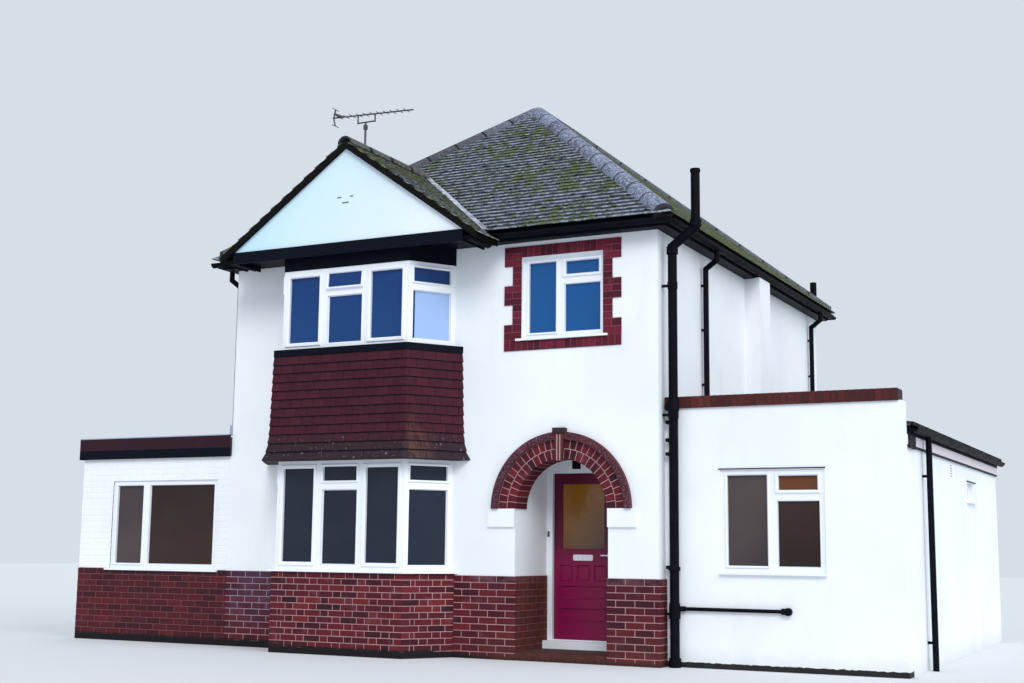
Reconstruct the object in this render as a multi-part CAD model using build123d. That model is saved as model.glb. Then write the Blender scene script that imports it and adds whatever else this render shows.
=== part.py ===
from build123d import *
import os
from math import radians, sin, tan

# A two-storey rendered house with a canted bay, an arched porch and a single-storey wing each side.
# Sizes are in millimetres. X runs right along the front, Y runs back into the house and Z is up.
# The origin is on the ground under the middle of the two-storey block.

# Two-storey block
main_width = 5920
main_depth = 6900
wall = 275
eaves_height = 4880

# Floors and ceilings
floor_top = 160
ceiling_height = 2400
floor_depth = 250
plaster = 15

# Brick plinth on the rendered walls
plinth_height = 948
plinth_proud = 12

# Main roof, with its heights taken from the eaves
roof_pitch = 38.5
eaves_overhang = 200
box_overhang = 130
eaves_box = 120
tile_edge = 30
rafter_drop = 150
ridge_radius = 145
ridge_sunk = 90
gable_ridge_sunk = 35
hip_foot_back = 70
gable_ridge_radius = 95

# Bay window, near the middle of the wall between the left corner and the porch
bay_off_centre = 20
bay_front_width = 1860
bay_depth = 570
bay_splay = 57
bay_wall = 220
bay_base_height = 990
bay_sill_depth = 25
bay_lower_window = 1300
bay_frame_setback = 40
bay_corner_post = 62
bay_stud = 80
apron_top_out = 45
apron_lean = 30
apron_kick = 70
apron_kick_power = 10
apron_bands = 6
bay_strip_height = 80
bay_strip_out = 60
bay_upper_window = 1000
bay_head_boards = 220
bay_head_setback = 35

# Gable over the bay, with its heights taken from the eaves
gable_right_of_bay = 50
gable_out = 660
gable_half_width = 1665
gable_base_rise = 60
gable_height = 1175
gable_wall_depth = 100
gable_tile = 83
gable_eave_half_width = 1850
gable_tail = 150
verge_overhang = 50
gable_ridge_end = 10
gable_fascia_drop = 85

# Boards, gutters and pipes
board = 20
soffit_board = 12
fascia_drop = 12
gutter_radius = 56
gutter_skin = 5
gutter_rise = 65
joint_gap = 1
downpipe_radius = 34
swan_neck_top = 110
swan_neck_bottom = 215
pipe_sides = 16
first_clip = 300
last_clip = 420
clip_height = 30
clip_width = 24
stack_radius = 52
stack_collar = 6
stack_collar_height = 80
waste_radius = 20
waste_boss = 8
waste_boss_height = 120
waste_gap = 10

# Arched porch, measured from the right corner of the front
porch_from_right = 1192
porch_half_width = 584
porch_depth = 850
porch_wall = 112
porch_floor_top = 95
arch_spring = 1720
arch_inner_radius = 570
arch_ring = 225
arch_ring_proud = 15
arch_hood = 80
arch_hood_proud = 60
impost_height = 208
impost_ear = 40
impost_proud = 30
keystone_below = 25
keystone_height = 315
keystone_top_width = 118
keystone_bottom_width = 65
keystone_proud = 75
keystone_cap = 60
keystone_cap_side = 16
keystone_cap_front = 15

# Lamp under the porch ceiling
lamp_stem = 60
lamp_stem_radius = 12
lamp_height = 130
lamp_radius = 55
lamp_sides = 6

# Front door
door_width = 787
door_height = 1981
door_thickness = 44
door_gap = 5
door_from_porch_left = 62
door_post_right = 96
door_frame_depth = 100
door_frame_setback = 10
door_head = 55
door_stop = 12
door_sill_top = 197
door_sill_nose = 140
door_sill_weathering = 10
door_glass_width = 552
door_glass_bottom = 1066
door_glass_height = 773
door_glass_thickness = 10
door_panel_width = 615
door_panel_depth = 8
door_lower_panel = 208
door_middle_panel = 470
door_low_panel_height = 165
door_small_panels = 685
door_small_panel_height = 194
door_small_panel_gap = 48
letter_plate_width = 258
letter_plate_height = 70
letter_plate_bottom = 927
letter_plate_thickness = 6
handle_height = 990
handle_from_edge = 55
handle_rose_radius = 25
handle_rose_depth = 10
handle_bar_radius = 9
handle_lever = 90
handle_stem = 45
hinge_pin_radius = 3
hinge_bore_clearance = 0.3
hinge_knuckle_radius = 6.5
hinge_length = 100
hinge_plate = 2.5
hinge_plate_width = 34
hinge_plate_clearance = 1
hinge_heights = (180, 950, 1720)
hinge_gap = 0.5

# Windows: frames are white plastic, glazed with one sheet a light
frame_depth = 70
frame_bar = 62
mullion = 100
transom = 95
top_light = 190
glass_thickness = 8
window_setback = 60
wing_window_setback = 20
sill_thickness = 25
sill_nose = 45
sill_ear = 60
right_sill_ear = 10

# Small window over the porch, hung from the eaves, with its toothed brick surround
small_window_width = 1050
small_window_height = 979
small_window_head_drop = 192
surround_proud = 12
surround_side = 225
surround_narrow = 115
surround_head_drop = 60
surround_foot = 139
surround_teeth = 5
surround_tooth = 234

# Left wing
left_width = 2540
left_depth = 5200
wing_wall = 225
left_wall_height = 2420
left_roof_depth = 240
left_roof_overhang = 30
left_fascia_top = 2700
left_fascia_split = 2530
left_fascia_bottom = 2410
left_window_from_main = 210
left_window_width = 1780
left_window_bottom = 950
left_window_height = 1170

# Right wing
right_width = 2618
coping_short = 33
right_set_back = 210
right_parapet = 2840
coping_height = 125
coping_proud = 22
right_wall_inset = 15
right_roof_high = 2950
right_roof_edge = 2630
right_roof_depth = 150
right_roof_edge_depth = 40
right_roof_overhang = 90
right_roof_tail = 60
right_fascia = 25
right_fascia_bottom = 2500
right_gutter_top = 2575
frieze_bottom = 2395
frieze_bead = 20
frieze_bead_proud = 8
right_window_from_main = 640
right_window_width = 1150
right_window_bottom = 1035
right_window_height = 1115
wing_light_from_front = 4330
wing_light_width = 480
wing_light_bottom = 1930
wing_light_height = 245
wing_pipe_from_front = 1290

# Flue breast and pipes
flue_from_front = 3233
flue_width = 470
flue_depth = 210
side_pipe_from_front = 1480
rear_pipe_from_front = 6400
left_pipe_from_front = 120
pipe_off_wall = 60
stack_out = 128
stack_from_corner = 130
stack_upper_out = 410
stack_bend_drop = 200
stack_bend_rise = 205
stack_rise = 670
stack_clips = (570, 2760, 4230)
waste_height = 630
waste_length = 1270
waste_branch = 110

# Aerial on the gable's ridge
aerial_from_front = 250
aerial_mast_radius = 14
aerial_clamp = 40
aerial_clamp_height = 58
aerial_clamp_drop = 38
aerial_rise = 462
aerial_boom_left = 498
aerial_boom_right = 697
aerial_boom_radius = 10
aerial_boom_fall = 25
aerial_bracket_left = 115
aerial_bracket_right = 140
aerial_bracket_drop = 95
aerial_rod_radius = 5
aerial_element_half = 75
aerial_elements = 11
aerial_reflector_half = 108
aerial_reflector_slant = 36
aerial_box_radius = 16
aerial_box_length = 150

# Rear windows, two on each storey
rear_window_width = 1500
rear_window_height = 1170
rear_window_spacing = 2900
rear_lower_bottom = 1000

left = -main_width / 2
right = main_width / 2
front = -main_depth / 2
rear = main_depth / 2
up = (0, 0, 1)
porch_x = right - porch_from_right
porch_left = porch_x - porch_half_width
porch_right = porch_x + porch_half_width
porch_back = front + porch_depth
bay_x = (left + porch_left) / 2 - bay_off_centre
gable_x = bay_x + gable_right_of_bay
bay_half = bay_front_width / 2
ceiling_under = ceiling_height - plaster
upper_floor_top = ceiling_height + floor_depth
tile_foot = eaves_height + eaves_box
tile_edge_height = tile_foot + tile_edge
fascia_bottom = eaves_height - fascia_drop
gutter_top = eaves_height + gutter_rise
gutter_bottom = gutter_top - gutter_radius
gable_base = eaves_height + gable_base_rise
gable_apex = gable_base + gable_height
gable_fascia_bottom = eaves_height - gable_fascia_drop
bay_lower_head = bay_base_height + bay_lower_window
bay_upper_head = eaves_height - bay_head_boards
bay_strip_top = bay_upper_head - bay_upper_window
apron_top = bay_strip_top - bay_strip_height
small_window_head = eaves_height - small_window_head_drop
small_window_bottom = small_window_head - small_window_height
surround_top = eaves_height - surround_head_drop
surround_bottom = small_window_bottom - surround_foot
rear_upper_bottom = bay_upper_head - rear_window_height
left_wing_end = left - left_width
right_wing_front = front + right_set_back
right_wing_side = right + right_width - right_wall_inset


def block(x, y, z):
    """A box between two values on each axis."""
    size = (x[1] - x[0], y[1] - y[0], z[1] - z[0])
    return Pos(x[0], y[0], z[0]) * Box(*size, align=(Align.MIN, Align.MIN, Align.MIN))


def prism(points, along):
    """A flat outline pushed along a vector."""
    way = Vector(*along)
    return extrude(make_face(Polyline(*points, close=True)), amount=way.length, dir=way.normalized())


def column(points, z):
    """A plan outline stood up between two heights."""
    return prism([(x, y, z[0]) for x, y in points], (0, 0, z[1] - z[0]))


def rod(start, end, radius):
    """A round bar between two points."""
    way = Vector(*end) - Vector(*start)
    foot = Plane(origin=start, z_dir=way.normalized())
    return extrude(foot * Circle(radius), amount=way.length)


def pipe(points, radius):
    """A pipe with many flat sides along straight runs that meet in mitred bends."""
    way = Vector(*points[1]) - Vector(*points[0])
    end = Plane(origin=points[0], z_dir=way.normalized()) * RegularPolygon(radius, pipe_sides)
    return sweep(end, path=Polyline(*points), transition=Transition.RIGHT)


def bar(start, end, radius, sides):
    """A straight bar with a few flat sides between two points."""
    way = Vector(*end) - Vector(*start)
    foot = Plane(origin=start, z_dir=way.normalized())
    return extrude(foot * RegularPolygon(radius, sides), amount=way.length)


# Bay geometry

def bay_points(offset):
    """The bay's plan, left to right, pushed outwards by an offset from its face."""
    half = bay_half + offset * tan(radians(bay_splay / 2))
    reach = bay_half + bay_depth / tan(radians(bay_splay)) + offset / sin(radians(bay_splay))
    face = front - bay_depth - offset
    return [(bay_x - reach, front), (bay_x - half, face), (bay_x + half, face), (bay_x + reach, front)]


bay_opening_half = bay_points(-bay_wall)[3][0] - bay_x


def bay_shell(outer, inner, z):
    """A canted wall in front of the main wall, between two offsets."""
    return column(bay_points(outer), z) - column(bay_points(inner), z)


def bay_faces(offset):
    """The three faces of the bay as planes, each with its length, X along it and Y inwards."""
    points = bay_points(offset)
    faces = []
    for (x0, y0), (x1, y1) in zip(points, points[1:]):
        run = Vector(x1 - x0, y1 - y0, 0)
        faces.append((Plane(origin=(x0, y0, 0), x_dir=run.normalized(), z_dir=up), run.length))
    return faces


def bay_lights(width, bottom, top, side_post):
    """Openings for glass on one face: three lights on the front, one column on a splay."""
    low, high = bottom + frame_bar, top - frame_bar
    bar = high - top_light
    if width > bay_front_width / 2:
        pane = (width - 2 * side_post - 2 * mullion) / 3
        middle = side_post + pane + mullion
        last = middle + pane + mullion
        return [
            (side_post, side_post + pane, low, high),
            (middle, middle + pane, low, bar - transom),
            (middle, middle + pane, bar, high),
            (last, last + pane, low, high),
        ]
    return [
        (side_post, width - side_post, low, bar - transom),
        (side_post, width - side_post, bar, high),
    ]


def bay_window(setback, bottom, top):
    """A canted window frame and its sheets of glass."""
    frame = bay_shell(-setback, -setback - frame_depth, (bottom, top))
    panes = []
    middle = (frame_depth - glass_thickness) / 2
    for plane, width in bay_faces(-setback):
        for x0, x1, z0, z1 in bay_lights(width, bottom, top, bay_corner_post):
            through = (-frame_depth / 2, 1.5 * frame_depth)
            frame -= plane.location * block((x0, x1), through, (z0, z1))
            panes.append(plane.location * block((x0, x1), (middle, middle + glass_thickness), (z0, z1)))
    return frame, panes


def bay_base():
    return bay_shell(0, -bay_wall, (0, bay_base_height - bay_sill_depth))


def bay_sill():
    """The white sill on the brick base, nosed past the bricks."""
    return bay_shell(sill_nose, -bay_wall, (bay_base_height - bay_sill_depth, bay_base_height))


def bay_apron():
    """Tile hanging between the two windows, nearly straight and kicked out at its foot."""
    rings = []
    for i in range(apron_bands + 1):
        fall = 1 - (i / apron_bands)**2
        level = apron_top - fall * (apron_top - bay_lower_head)
        points = bay_points(apron_top_out + apron_lean * fall + apron_kick * fall**apron_kick_power)
        rings.append(make_face(Polyline(*[(x, y, level) for x, y in points], close=True)))
    body = loft(rings, ruled=True)
    body += column(bay_points(-bay_frame_setback), (bay_lower_head, apron_top))
    inner = -bay_frame_setback - bay_stud
    return body - column(bay_points(inner), (bay_lower_head, apron_top))


def bay_boards():
    """The dark sill strip over the tiles and the dark boards over the upper window."""
    strip = bay_shell(bay_strip_out, -bay_frame_setback - bay_stud, (apron_top, bay_strip_top))
    inner = -bay_frame_setback - frame_depth
    head = bay_shell(-bay_head_setback, inner, (bay_upper_head, eaves_height - soffit_board))
    return [strip, head]


# Roofs

rise = tan(radians(roof_pitch))
apex_height = tile_edge_height + (main_width / 2 + eaves_overhang) * rise


def hip_volume(drop, base):
    """Everything under the hipped roof's surface, lowered by a drop, down to a base height."""
    out = eaves_overhang
    edge = tile_edge_height - drop
    peak = apex_height - drop
    across = [(left - out, base), (left - out, edge), (0, peak), (right + out, edge), (right + out, base)]
    half = main_width / 2
    along = [(front - out, base), (front - out, edge), (front + half, peak), (rear - half, peak),
             (rear + out, edge), (rear + out, base)]
    long_way = prism([(x, front - out, z) for x, z in across], (0, main_depth + 2 * out, 0))
    cross_way = prism([(left - out, y, z) for y, z in along], (main_width + 2 * out, 0, 0))
    return long_way & cross_way


def main_roof_outer():
    out = box_overhang
    box = block((left - out, right + out), (front - out, rear + out), (eaves_height, tile_foot))
    return hip_volume(0, tile_foot) + box


def main_roof():
    """Tiles, rafters and boxed eaves as one shell over the roof space."""
    inside = (left + wall, right - wall), (front + wall, rear - wall)
    space = hip_volume(rafter_drop, 0) & block(*inside, (eaves_height, apex_height))
    return main_roof_outer() - space


gable_slope = (gable_apex - gable_base) / gable_half_width
gable_face = front - gable_out


def gable_outline(top, half, bottom=None):
    """A triangle or house shape across the gable, as points in X and Z."""
    edge = top - half * gable_slope
    points = [(gable_x - half, edge), (gable_x, top), (gable_x + half, edge)]
    if bottom is None:
        return points
    return [(gable_x - half, bottom), *points, (gable_x + half, bottom)]


def gable_reach():
    """How far back the gable's ridge runs before the main slope covers it."""
    return (gable_apex + gable_tile - tile_edge_height) / rise - eaves_overhang


def gable_prism(top, half, bottom, start, length):
    points = [(x, start, z) for x, z in gable_outline(top, half, bottom)]
    return prism(points, (0, length, 0))


def gable_roof():
    """Two tiled slopes over the bay that die into the main roof along two valleys."""
    start = gable_face - verge_overhang
    length = gable_out + verge_overhang + gable_reach() + gable_tail
    half = gable_eave_half_width
    top = gable_prism(gable_apex + gable_tile, half, gable_apex - half * gable_slope, start, length)
    under = gable_prism(gable_apex, half, gable_apex - half * gable_slope - 1, start, length)
    eaves = block((gable_x - half, gable_x + half), (front - box_overhang - board, rear), (0, tile_foot))
    return top - under - main_roof_outer() - eaves


def gable_wall():
    return gable_prism(gable_apex, gable_half_width, None, gable_face, gable_wall_depth)


def gable_fascia():
    """The black board under the gable with its two returns to the main eaves."""
    z = (gable_fascia_bottom, gable_base)
    outer_x = (gable_x - gable_half_width, gable_x + gable_half_width)
    outer = block(outer_x, (gable_face - board, front - box_overhang), z)
    inner_x = (outer_x[0] + board, outer_x[1] - board)
    return outer - block(inner_x, (gable_face, front), z)


def gable_soffit():
    x = (gable_x - gable_half_width + board, gable_x + gable_half_width - board)
    z = (eaves_height - soffit_board, eaves_height)
    return block(x, (gable_face, front), z)


def ridge_tiles():
    """Half-round tiles along the ridge, the four hips and the gable's ridge."""
    out = eaves_overhang - hip_foot_back
    half = main_width / 2
    peak = apex_height - ridge_sunk
    foot = tile_edge_height + hip_foot_back * rise - ridge_sunk
    bars = rod((0, front + half, peak), (0, rear - half, peak), ridge_radius)
    for x, y, turn in ((left, front, 1), (right, front, 1), (left, rear, -1), (right, rear, -1)):
        side = 1 if x > 0 else -1
        bars += rod((x + side * out, y - turn * out, foot), (0, y + turn * half, peak), ridge_radius)
    top = gable_apex + gable_tile - gable_ridge_sunk
    start = gable_face - verge_overhang - gable_ridge_end
    bars += rod((gable_x, start, top), (gable_x, front + gable_reach(), top), gable_ridge_radius)
    length = front + gable_reach() - start
    filled = gable_prism(gable_apex + gable_tile, gable_eave_half_width, eaves_height, start, length)
    return bars - main_roof_outer() - filled - below_tiles()


def below_tiles():
    """Everything lower than the foot of the main roof's tiles."""
    reach = 2 * eaves_overhang
    return block((left - reach, right + reach), (front - reach, rear + reach), (0, tile_foot))


# Walls of the two-storey block

def arch_disc(radius, y, depth):
    """A half disc over the porch, standing on the springing line."""
    face = Plane(origin=(porch_x, y, arch_spring), x_dir=(1, 0, 0), z_dir=(0, -1, 0))
    upper = Pos(0, radius / 2) * Rectangle(2 * radius, radius)
    return extrude(face * (Circle(radius) & upper), amount=-depth)


def front_walls():
    """The front wall in slabs beside the bay and the porch, and one panel over the porch."""
    y = (front, front + wall)
    z = (0, eaves_height)
    ring = arch_disc(arch_inner_radius + arch_ring, front, wall)
    left_slab = block((left, bay_x - bay_opening_half), y, z)
    middle = block((bay_x + bay_opening_half, porch_left), y, z) - ring
    pier = block((porch_right, right), y, z) - ring
    over = block((porch_left, porch_right), y, (arch_spring, eaves_height)) - ring
    over -= block(small_window_x, y, small_window_z)
    return left_slab, middle, pier, over


small_window_x = (porch_x - small_window_width / 2, porch_x + small_window_width / 2)
small_window_z = (small_window_bottom - sill_thickness, small_window_head)


def bay_beams():
    """The two beams of the main wall over the bay's lower and upper opening."""
    x = (bay_x - bay_opening_half, bay_x + bay_opening_half)
    y = (front, front + wall)
    return [block(x, y, (bay_lower_head, ceiling_under)), block(x, y, (bay_upper_head, eaves_height))]


def rear_window_places():
    places = []
    for side in (-1, 1):
        for bottom in (rear_lower_bottom, rear_upper_bottom):
            places.append((side * rear_window_spacing / 2, bottom))
    return places


def rear_wall():
    slab = block((left + wall, right - wall), (rear - wall, rear), (0, eaves_height))
    for x, bottom in rear_window_places():
        reach = (x - rear_window_width / 2, x + rear_window_width / 2)
        slab -= block(reach, (rear - wall, rear), (bottom - sill_thickness, bottom + rear_window_height))
    return slab


def side_wall(x):
    return block(x, (front + wall, rear), (0, eaves_height))


def flue_breast():
    start = front + flue_from_front
    return block((right, right + flue_depth), (start, start + flue_width), (0, eaves_height))


# Floors and ceilings

def inside_block(z):
    return block((left + wall, right - wall), (front + wall, rear - wall), z)


def bay_floor(offset, z):
    wall_gap = block((bay_x - bay_opening_half, bay_x + bay_opening_half), (front, front + wall), z)
    return column(bay_points(offset), z) + wall_gap


def ground_floor():
    """The floor inside the block and the bay, stopping at the porch walls, and in both wings."""
    z = (0, floor_top)
    porch = block((porch_left - porch_wall, porch_right + porch_wall), (front, porch_back + porch_wall), z)
    main = inside_block(z) + bay_floor(-bay_wall, z) - porch
    left_y = (front + wing_wall, front + left_depth - wing_wall)
    left_room = block((left_wing_end + wing_wall, left), left_y, z)
    right_y = (right_wing_front + wing_wall, rear - wing_wall)
    right_room = block((right, right_wing_side - wing_wall), right_y, z)
    return [main, left_room, right_room - flue_breast()]


def first_floor():
    z = (ceiling_height, upper_floor_top)
    return inside_block(z) + bay_floor(-bay_frame_setback - bay_stud, z)


def ceilings():
    lower = (ceiling_under, ceiling_height)
    upper = (eaves_height - plaster, eaves_height)
    return [inside_block(lower) + bay_floor(-bay_frame_setback - bay_stud, lower), inside_block(upper)]


# Porch

def porch_side_walls():
    y = (front + wall, porch_back + porch_wall)
    z = (0, ceiling_under)
    ring = arch_disc(arch_inner_radius + arch_ring, front, wall)
    west = block((porch_left - porch_wall, porch_left), y, z)
    east = block((porch_right, porch_right + porch_wall), y, z)
    return [west - ring, east - ring]


door_left = porch_left + door_from_porch_left
door_right = door_left + door_width
frame_right = door_right + door_post_right
leaf_bottom = door_sill_top + door_gap
leaf_top = leaf_bottom + door_height
frame_top = leaf_top + door_gap + door_head


porch_back_y = (porch_back, porch_back + porch_wall)


def porch_back_pier():
    return block((frame_right, porch_right), porch_back_y, (porch_floor_top, frame_top))


def porch_over_door():
    return block((porch_left, porch_right), porch_back_y, (frame_top, ceiling_under))


def porch_floor():
    return block((porch_left, porch_right), (front, porch_back + porch_wall), (0, porch_floor_top))


def arch_ring_bricks():
    y = front - arch_ring_proud
    depth = wall + arch_ring_proud
    ring = arch_disc(arch_inner_radius + arch_ring, y, depth) - arch_disc(arch_inner_radius, y - 1, depth + 2)
    return ring - keystone_block()


def arch_hood_mould():
    radius = arch_inner_radius + arch_ring
    outer = arch_disc(radius + arch_hood, front - arch_hood_proud, arch_hood_proud)
    return outer - arch_disc(radius, front - arch_hood_proud - 1, arch_hood_proud + 2) - keystone_block()


def keystone_block():
    """A wedge at the crown, proud of the ring and the hood."""
    bottom = arch_spring + arch_inner_radius - keystone_below
    top = bottom + keystone_height
    low, high = keystone_bottom_width / 2, keystone_top_width / 2
    y = front - keystone_proud
    outline = [(-low, bottom), (low, bottom), (high, top), (-high, top)]
    stone = prism([(porch_x + x, y, z) for x, z in outline], (0, keystone_proud, 0))
    ear = high + keystone_cap_side
    cap_y = (y - keystone_cap_front, front)
    return stone + block((porch_x - ear, porch_x + ear), cap_y, (top, top + keystone_cap))


def arch_imposts():
    """Blocks that carry the ring and the hood, with a small ear past the hood."""
    z = (arch_spring - impost_height, arch_spring)
    y = (front - impost_proud, front)
    width = arch_ring + arch_hood + impost_ear
    return [
        block((porch_left - width, porch_left), y, z),
        block((porch_right, porch_right + width), y, z),
    ]


# Front door

frame_outer = porch_back + door_frame_setback
frame_inner = frame_outer + door_frame_depth
leaf_y = (frame_inner - door_thickness, frame_inner)
hinge_x = door_left - door_gap / 2
hinge_y = frame_inner + hinge_knuckle_radius + hinge_gap


def door_frame():
    """Posts, head and sill of the white frame, with a stop in front of the leaf."""
    y = (frame_outer, frame_inner)
    frame = block((porch_left, frame_right), y, (porch_floor_top, frame_top))
    clear_x = (door_left - door_gap, door_right + door_gap)
    frame -= block(clear_x, (leaf_y[0] - door_gap, frame_inner), (door_sill_top, leaf_top + door_gap))
    stop_x = (door_left + door_stop, door_right - door_stop)
    frame -= block(stop_x, y, (door_sill_top, leaf_top - door_stop))
    nose_top = door_sill_top - door_sill_weathering
    nose_x = (porch_left + plinth_proud, frame_right)
    nose_y = (frame_outer - door_sill_nose, frame_outer)
    return frame + block(nose_x, nose_y, (porch_floor_top, nose_top))


def door_opening(x, z):
    """A hole through the leaf, measured from its left edge and its foot."""
    return block((door_left + x[0], door_left + x[1]), leaf_y, (leaf_bottom + z[0], leaf_bottom + z[1]))


def door_recess(x, z):
    """A sunk panel on both faces of the leaf."""
    reach = (door_left + x[0], door_left + x[1])
    high = (leaf_bottom + z[0], leaf_bottom + z[1])
    outside = block(reach, (leaf_y[0], leaf_y[0] + door_panel_depth), high)
    inside = block(reach, (leaf_y[1] - door_panel_depth, leaf_y[1]), high)
    return outside + inside


door_glass_x = ((door_width - door_glass_width) / 2, (door_width + door_glass_width) / 2)
door_glass_z = (door_glass_bottom, door_glass_bottom + door_glass_height)


def door_leaf():
    leaf = block((door_left, door_right), leaf_y, (leaf_bottom, leaf_top))
    leaf -= door_opening(door_glass_x, door_glass_z)
    start = (door_width - door_panel_width) / 2
    wide = (start, start + door_panel_width)
    leaf -= door_recess(wide, (door_lower_panel, door_lower_panel + door_low_panel_height))
    leaf -= door_recess(wide, (door_middle_panel, door_middle_panel + door_low_panel_height))
    small = (door_panel_width - 2 * door_small_panel_gap) / 3
    for i in range(3):
        x = start + i * (small + door_small_panel_gap)
        leaf -= door_recess((x, x + small), (door_small_panels, door_small_panels + door_small_panel_height))
    return leaf


def door_glass():
    middle = (leaf_y[0] + leaf_y[1] - door_glass_thickness) / 2
    x = (door_left + door_glass_x[0], door_left + door_glass_x[1])
    z = (leaf_bottom + door_glass_z[0], leaf_bottom + door_glass_z[1])
    return block(x, (middle, middle + door_glass_thickness), z)


def letter_plate():
    x = door_left + door_width / 2
    z = leaf_bottom + letter_plate_bottom
    plate = block((x - letter_plate_width / 2, x + letter_plate_width / 2),
                  (leaf_y[0] - letter_plate_thickness, leaf_y[0]), (z, z + letter_plate_height))
    return fillet(plate.edges().filter_by(Axis.Y), letter_plate_height / 4)


def door_handle(face, out):
    """A rose, a stem and a lever on one face of the leaf."""
    x, z = door_right - handle_from_edge, leaf_bottom + handle_height
    reach = face + out * handle_stem
    rose = rod((x, face, z), (x, face + out * handle_rose_depth, z), handle_rose_radius)
    stem = rod((x, face, z), (x, reach, z), handle_bar_radius)
    lever = rod((x + handle_bar_radius, reach, z), (x - handle_lever, reach, z), handle_bar_radius)
    return rose + stem + lever


def knuckle(z, radius):
    return rod((hinge_x, hinge_y, z[0]), (hinge_x, hinge_y, z[1]), radius)


def hinge_spans(foot):
    """Bottom, middle and top thirds of one hinge, with running gaps between them."""
    third = hinge_length / 3
    low = leaf_bottom + foot
    high = low + 2 * third
    return (low, low + third), (low + third + hinge_gap, high - hinge_gap), (high, high + third)


def door_hinges():
    """Frame halves of the hinges: a plate, two knuckles and the pin."""
    halves = []
    plate_x = (hinge_x - hinge_plate_width, hinge_x - hinge_plate_clearance)
    for foot in hinge_heights:
        low, _, high = hinge_spans(foot)
        half = knuckle((low[0], high[1]), hinge_pin_radius)
        for span in (low, high):
            half += knuckle(span, hinge_knuckle_radius)
            half += block(plate_x, (frame_inner, frame_inner + hinge_plate), span)
        halves.append(half)
    return halves


def door_hinge_leaves():
    """Door halves of the hinges: a plate on the leaf and the middle knuckle round the pin."""
    halves = []
    plate_x = (door_left, hinge_x + hinge_plate_width)
    for foot in hinge_heights:
        _, middle, _ = hinge_spans(foot)
        half = knuckle(middle, hinge_knuckle_radius)
        half += block(plate_x, (frame_inner, frame_inner + hinge_plate), middle)
        halves.append(half - knuckle(middle, hinge_pin_radius + hinge_bore_clearance))
    return halves


def door_furniture():
    """Everything fixed to the leaf: the letter plate, a handle on each face and the hinges' leaves."""
    return [letter_plate(), door_handle(leaf_y[0], -1), door_handle(leaf_y[1], 1)] + door_hinge_leaves()


# Flat windows

def flat_lights(width, height, columns, opener):
    """Openings for glass from a frame's lower left corner; one column has a top light."""
    total = sum(columns)
    glass = width - 2 * frame_bar - (len(columns) - 1) * mullion
    lights = []
    x = frame_bar
    for i, share in enumerate(columns):
        wide = glass * share / total
        high = height - frame_bar
        if i == opener:
            lights.append((x, x + wide, high - top_light, high))
            high -= top_light + transom
        lights.append((x, x + wide, frame_bar, high))
        x += wide + mullion
    return lights


def flat_window(plane, width, height, columns=(1, 1), opener=1):
    """A frame and its glass on a plane: X along the wall, Y inwards and the origin at the lower left."""
    frame = block((0, width), (0, frame_depth), (0, height))
    panes = []
    middle = (frame_depth - glass_thickness) / 2
    for x0, x1, z0, z1 in flat_lights(width, height, columns, opener):
        frame -= block((x0, x1), (0, frame_depth), (z0, z1))
        panes.append(plane.location * block((x0, x1), (middle, middle + glass_thickness), (z0, z1)))
    return plane.location * frame, panes


def flat_sill(plane, width, setback, ear):
    """A sill under the frame, nosed past the wall face and a little past the opening."""
    z = (-sill_thickness, 0)
    bed = block((0, width), (-setback, frame_depth), z)
    nose = block((-ear, width + ear), (-setback - sill_nose, -setback), z)
    return plane.location * (bed + nose)


def front_place(x, y, bottom):
    """The lower left corner of a window that looks to the front."""
    return Plane(origin=(x, y, bottom))


def rear_place(x, bottom):
    corner = (x + rear_window_width / 2, rear - window_setback, bottom)
    return Plane(origin=corner, x_dir=(-1, 0, 0), z_dir=up)


def flat_window_list():
    """Every flat window: plane, width, height, columns, which one has a top light, set-back and sill ear."""
    small = front_place(small_window_x[0], front + window_setback, small_window_bottom)
    left_x = left - left_window_from_main - left_window_width
    left_one = front_place(left_x, front + wing_window_setback, left_window_bottom)
    right_x = right + right_window_from_main
    right_one = front_place(right_x, right_wing_front + wing_window_setback, right_window_bottom)
    light = (right_wing_side - window_setback, front + wing_light_from_front, wing_light_bottom)
    side = Plane(origin=light, x_dir=(0, 1, 0), z_dir=up)
    wing = wing_window_setback
    rows = [
        (small, small_window_width, small_window_height, (4, 5), 1, window_setback, sill_ear),
        (left_one, left_window_width, left_window_height, (3, 7), None, wing, sill_ear),
        (right_one, right_window_width, right_window_height, (1, 1), 1, wing, right_sill_ear),
        (side, wing_light_width, wing_light_height, (1,), None, window_setback, sill_ear),
    ]
    for x, bottom in rear_window_places():
        size = (rear_window_width, rear_window_height)
        rows.append((rear_place(x, bottom), *size, (1, 1), 1, window_setback, sill_ear))
    return rows


def window_surround():
    """Toothed brick surround of the small window: narrow and wide blocks in turn."""
    y = (front - surround_proud, front)
    last = surround_teeth - 1
    body = None
    for i in range(surround_teeth):
        side = surround_side if i % 2 == 0 else surround_narrow
        top = surround_top - i * surround_tooth
        z = (surround_bottom if i == last else top - surround_tooth, top)
        row = block((small_window_x[0] - side, small_window_x[1] + side), y, z)
        body = row if body is None else body + row
    body -= block(small_window_x, y, small_window_z)
    ear = (small_window_x[0] - sill_ear, small_window_x[1] + sill_ear)
    return body - block(ear, y, (small_window_bottom - sill_thickness, small_window_bottom))


# Brick plinth skin

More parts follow.
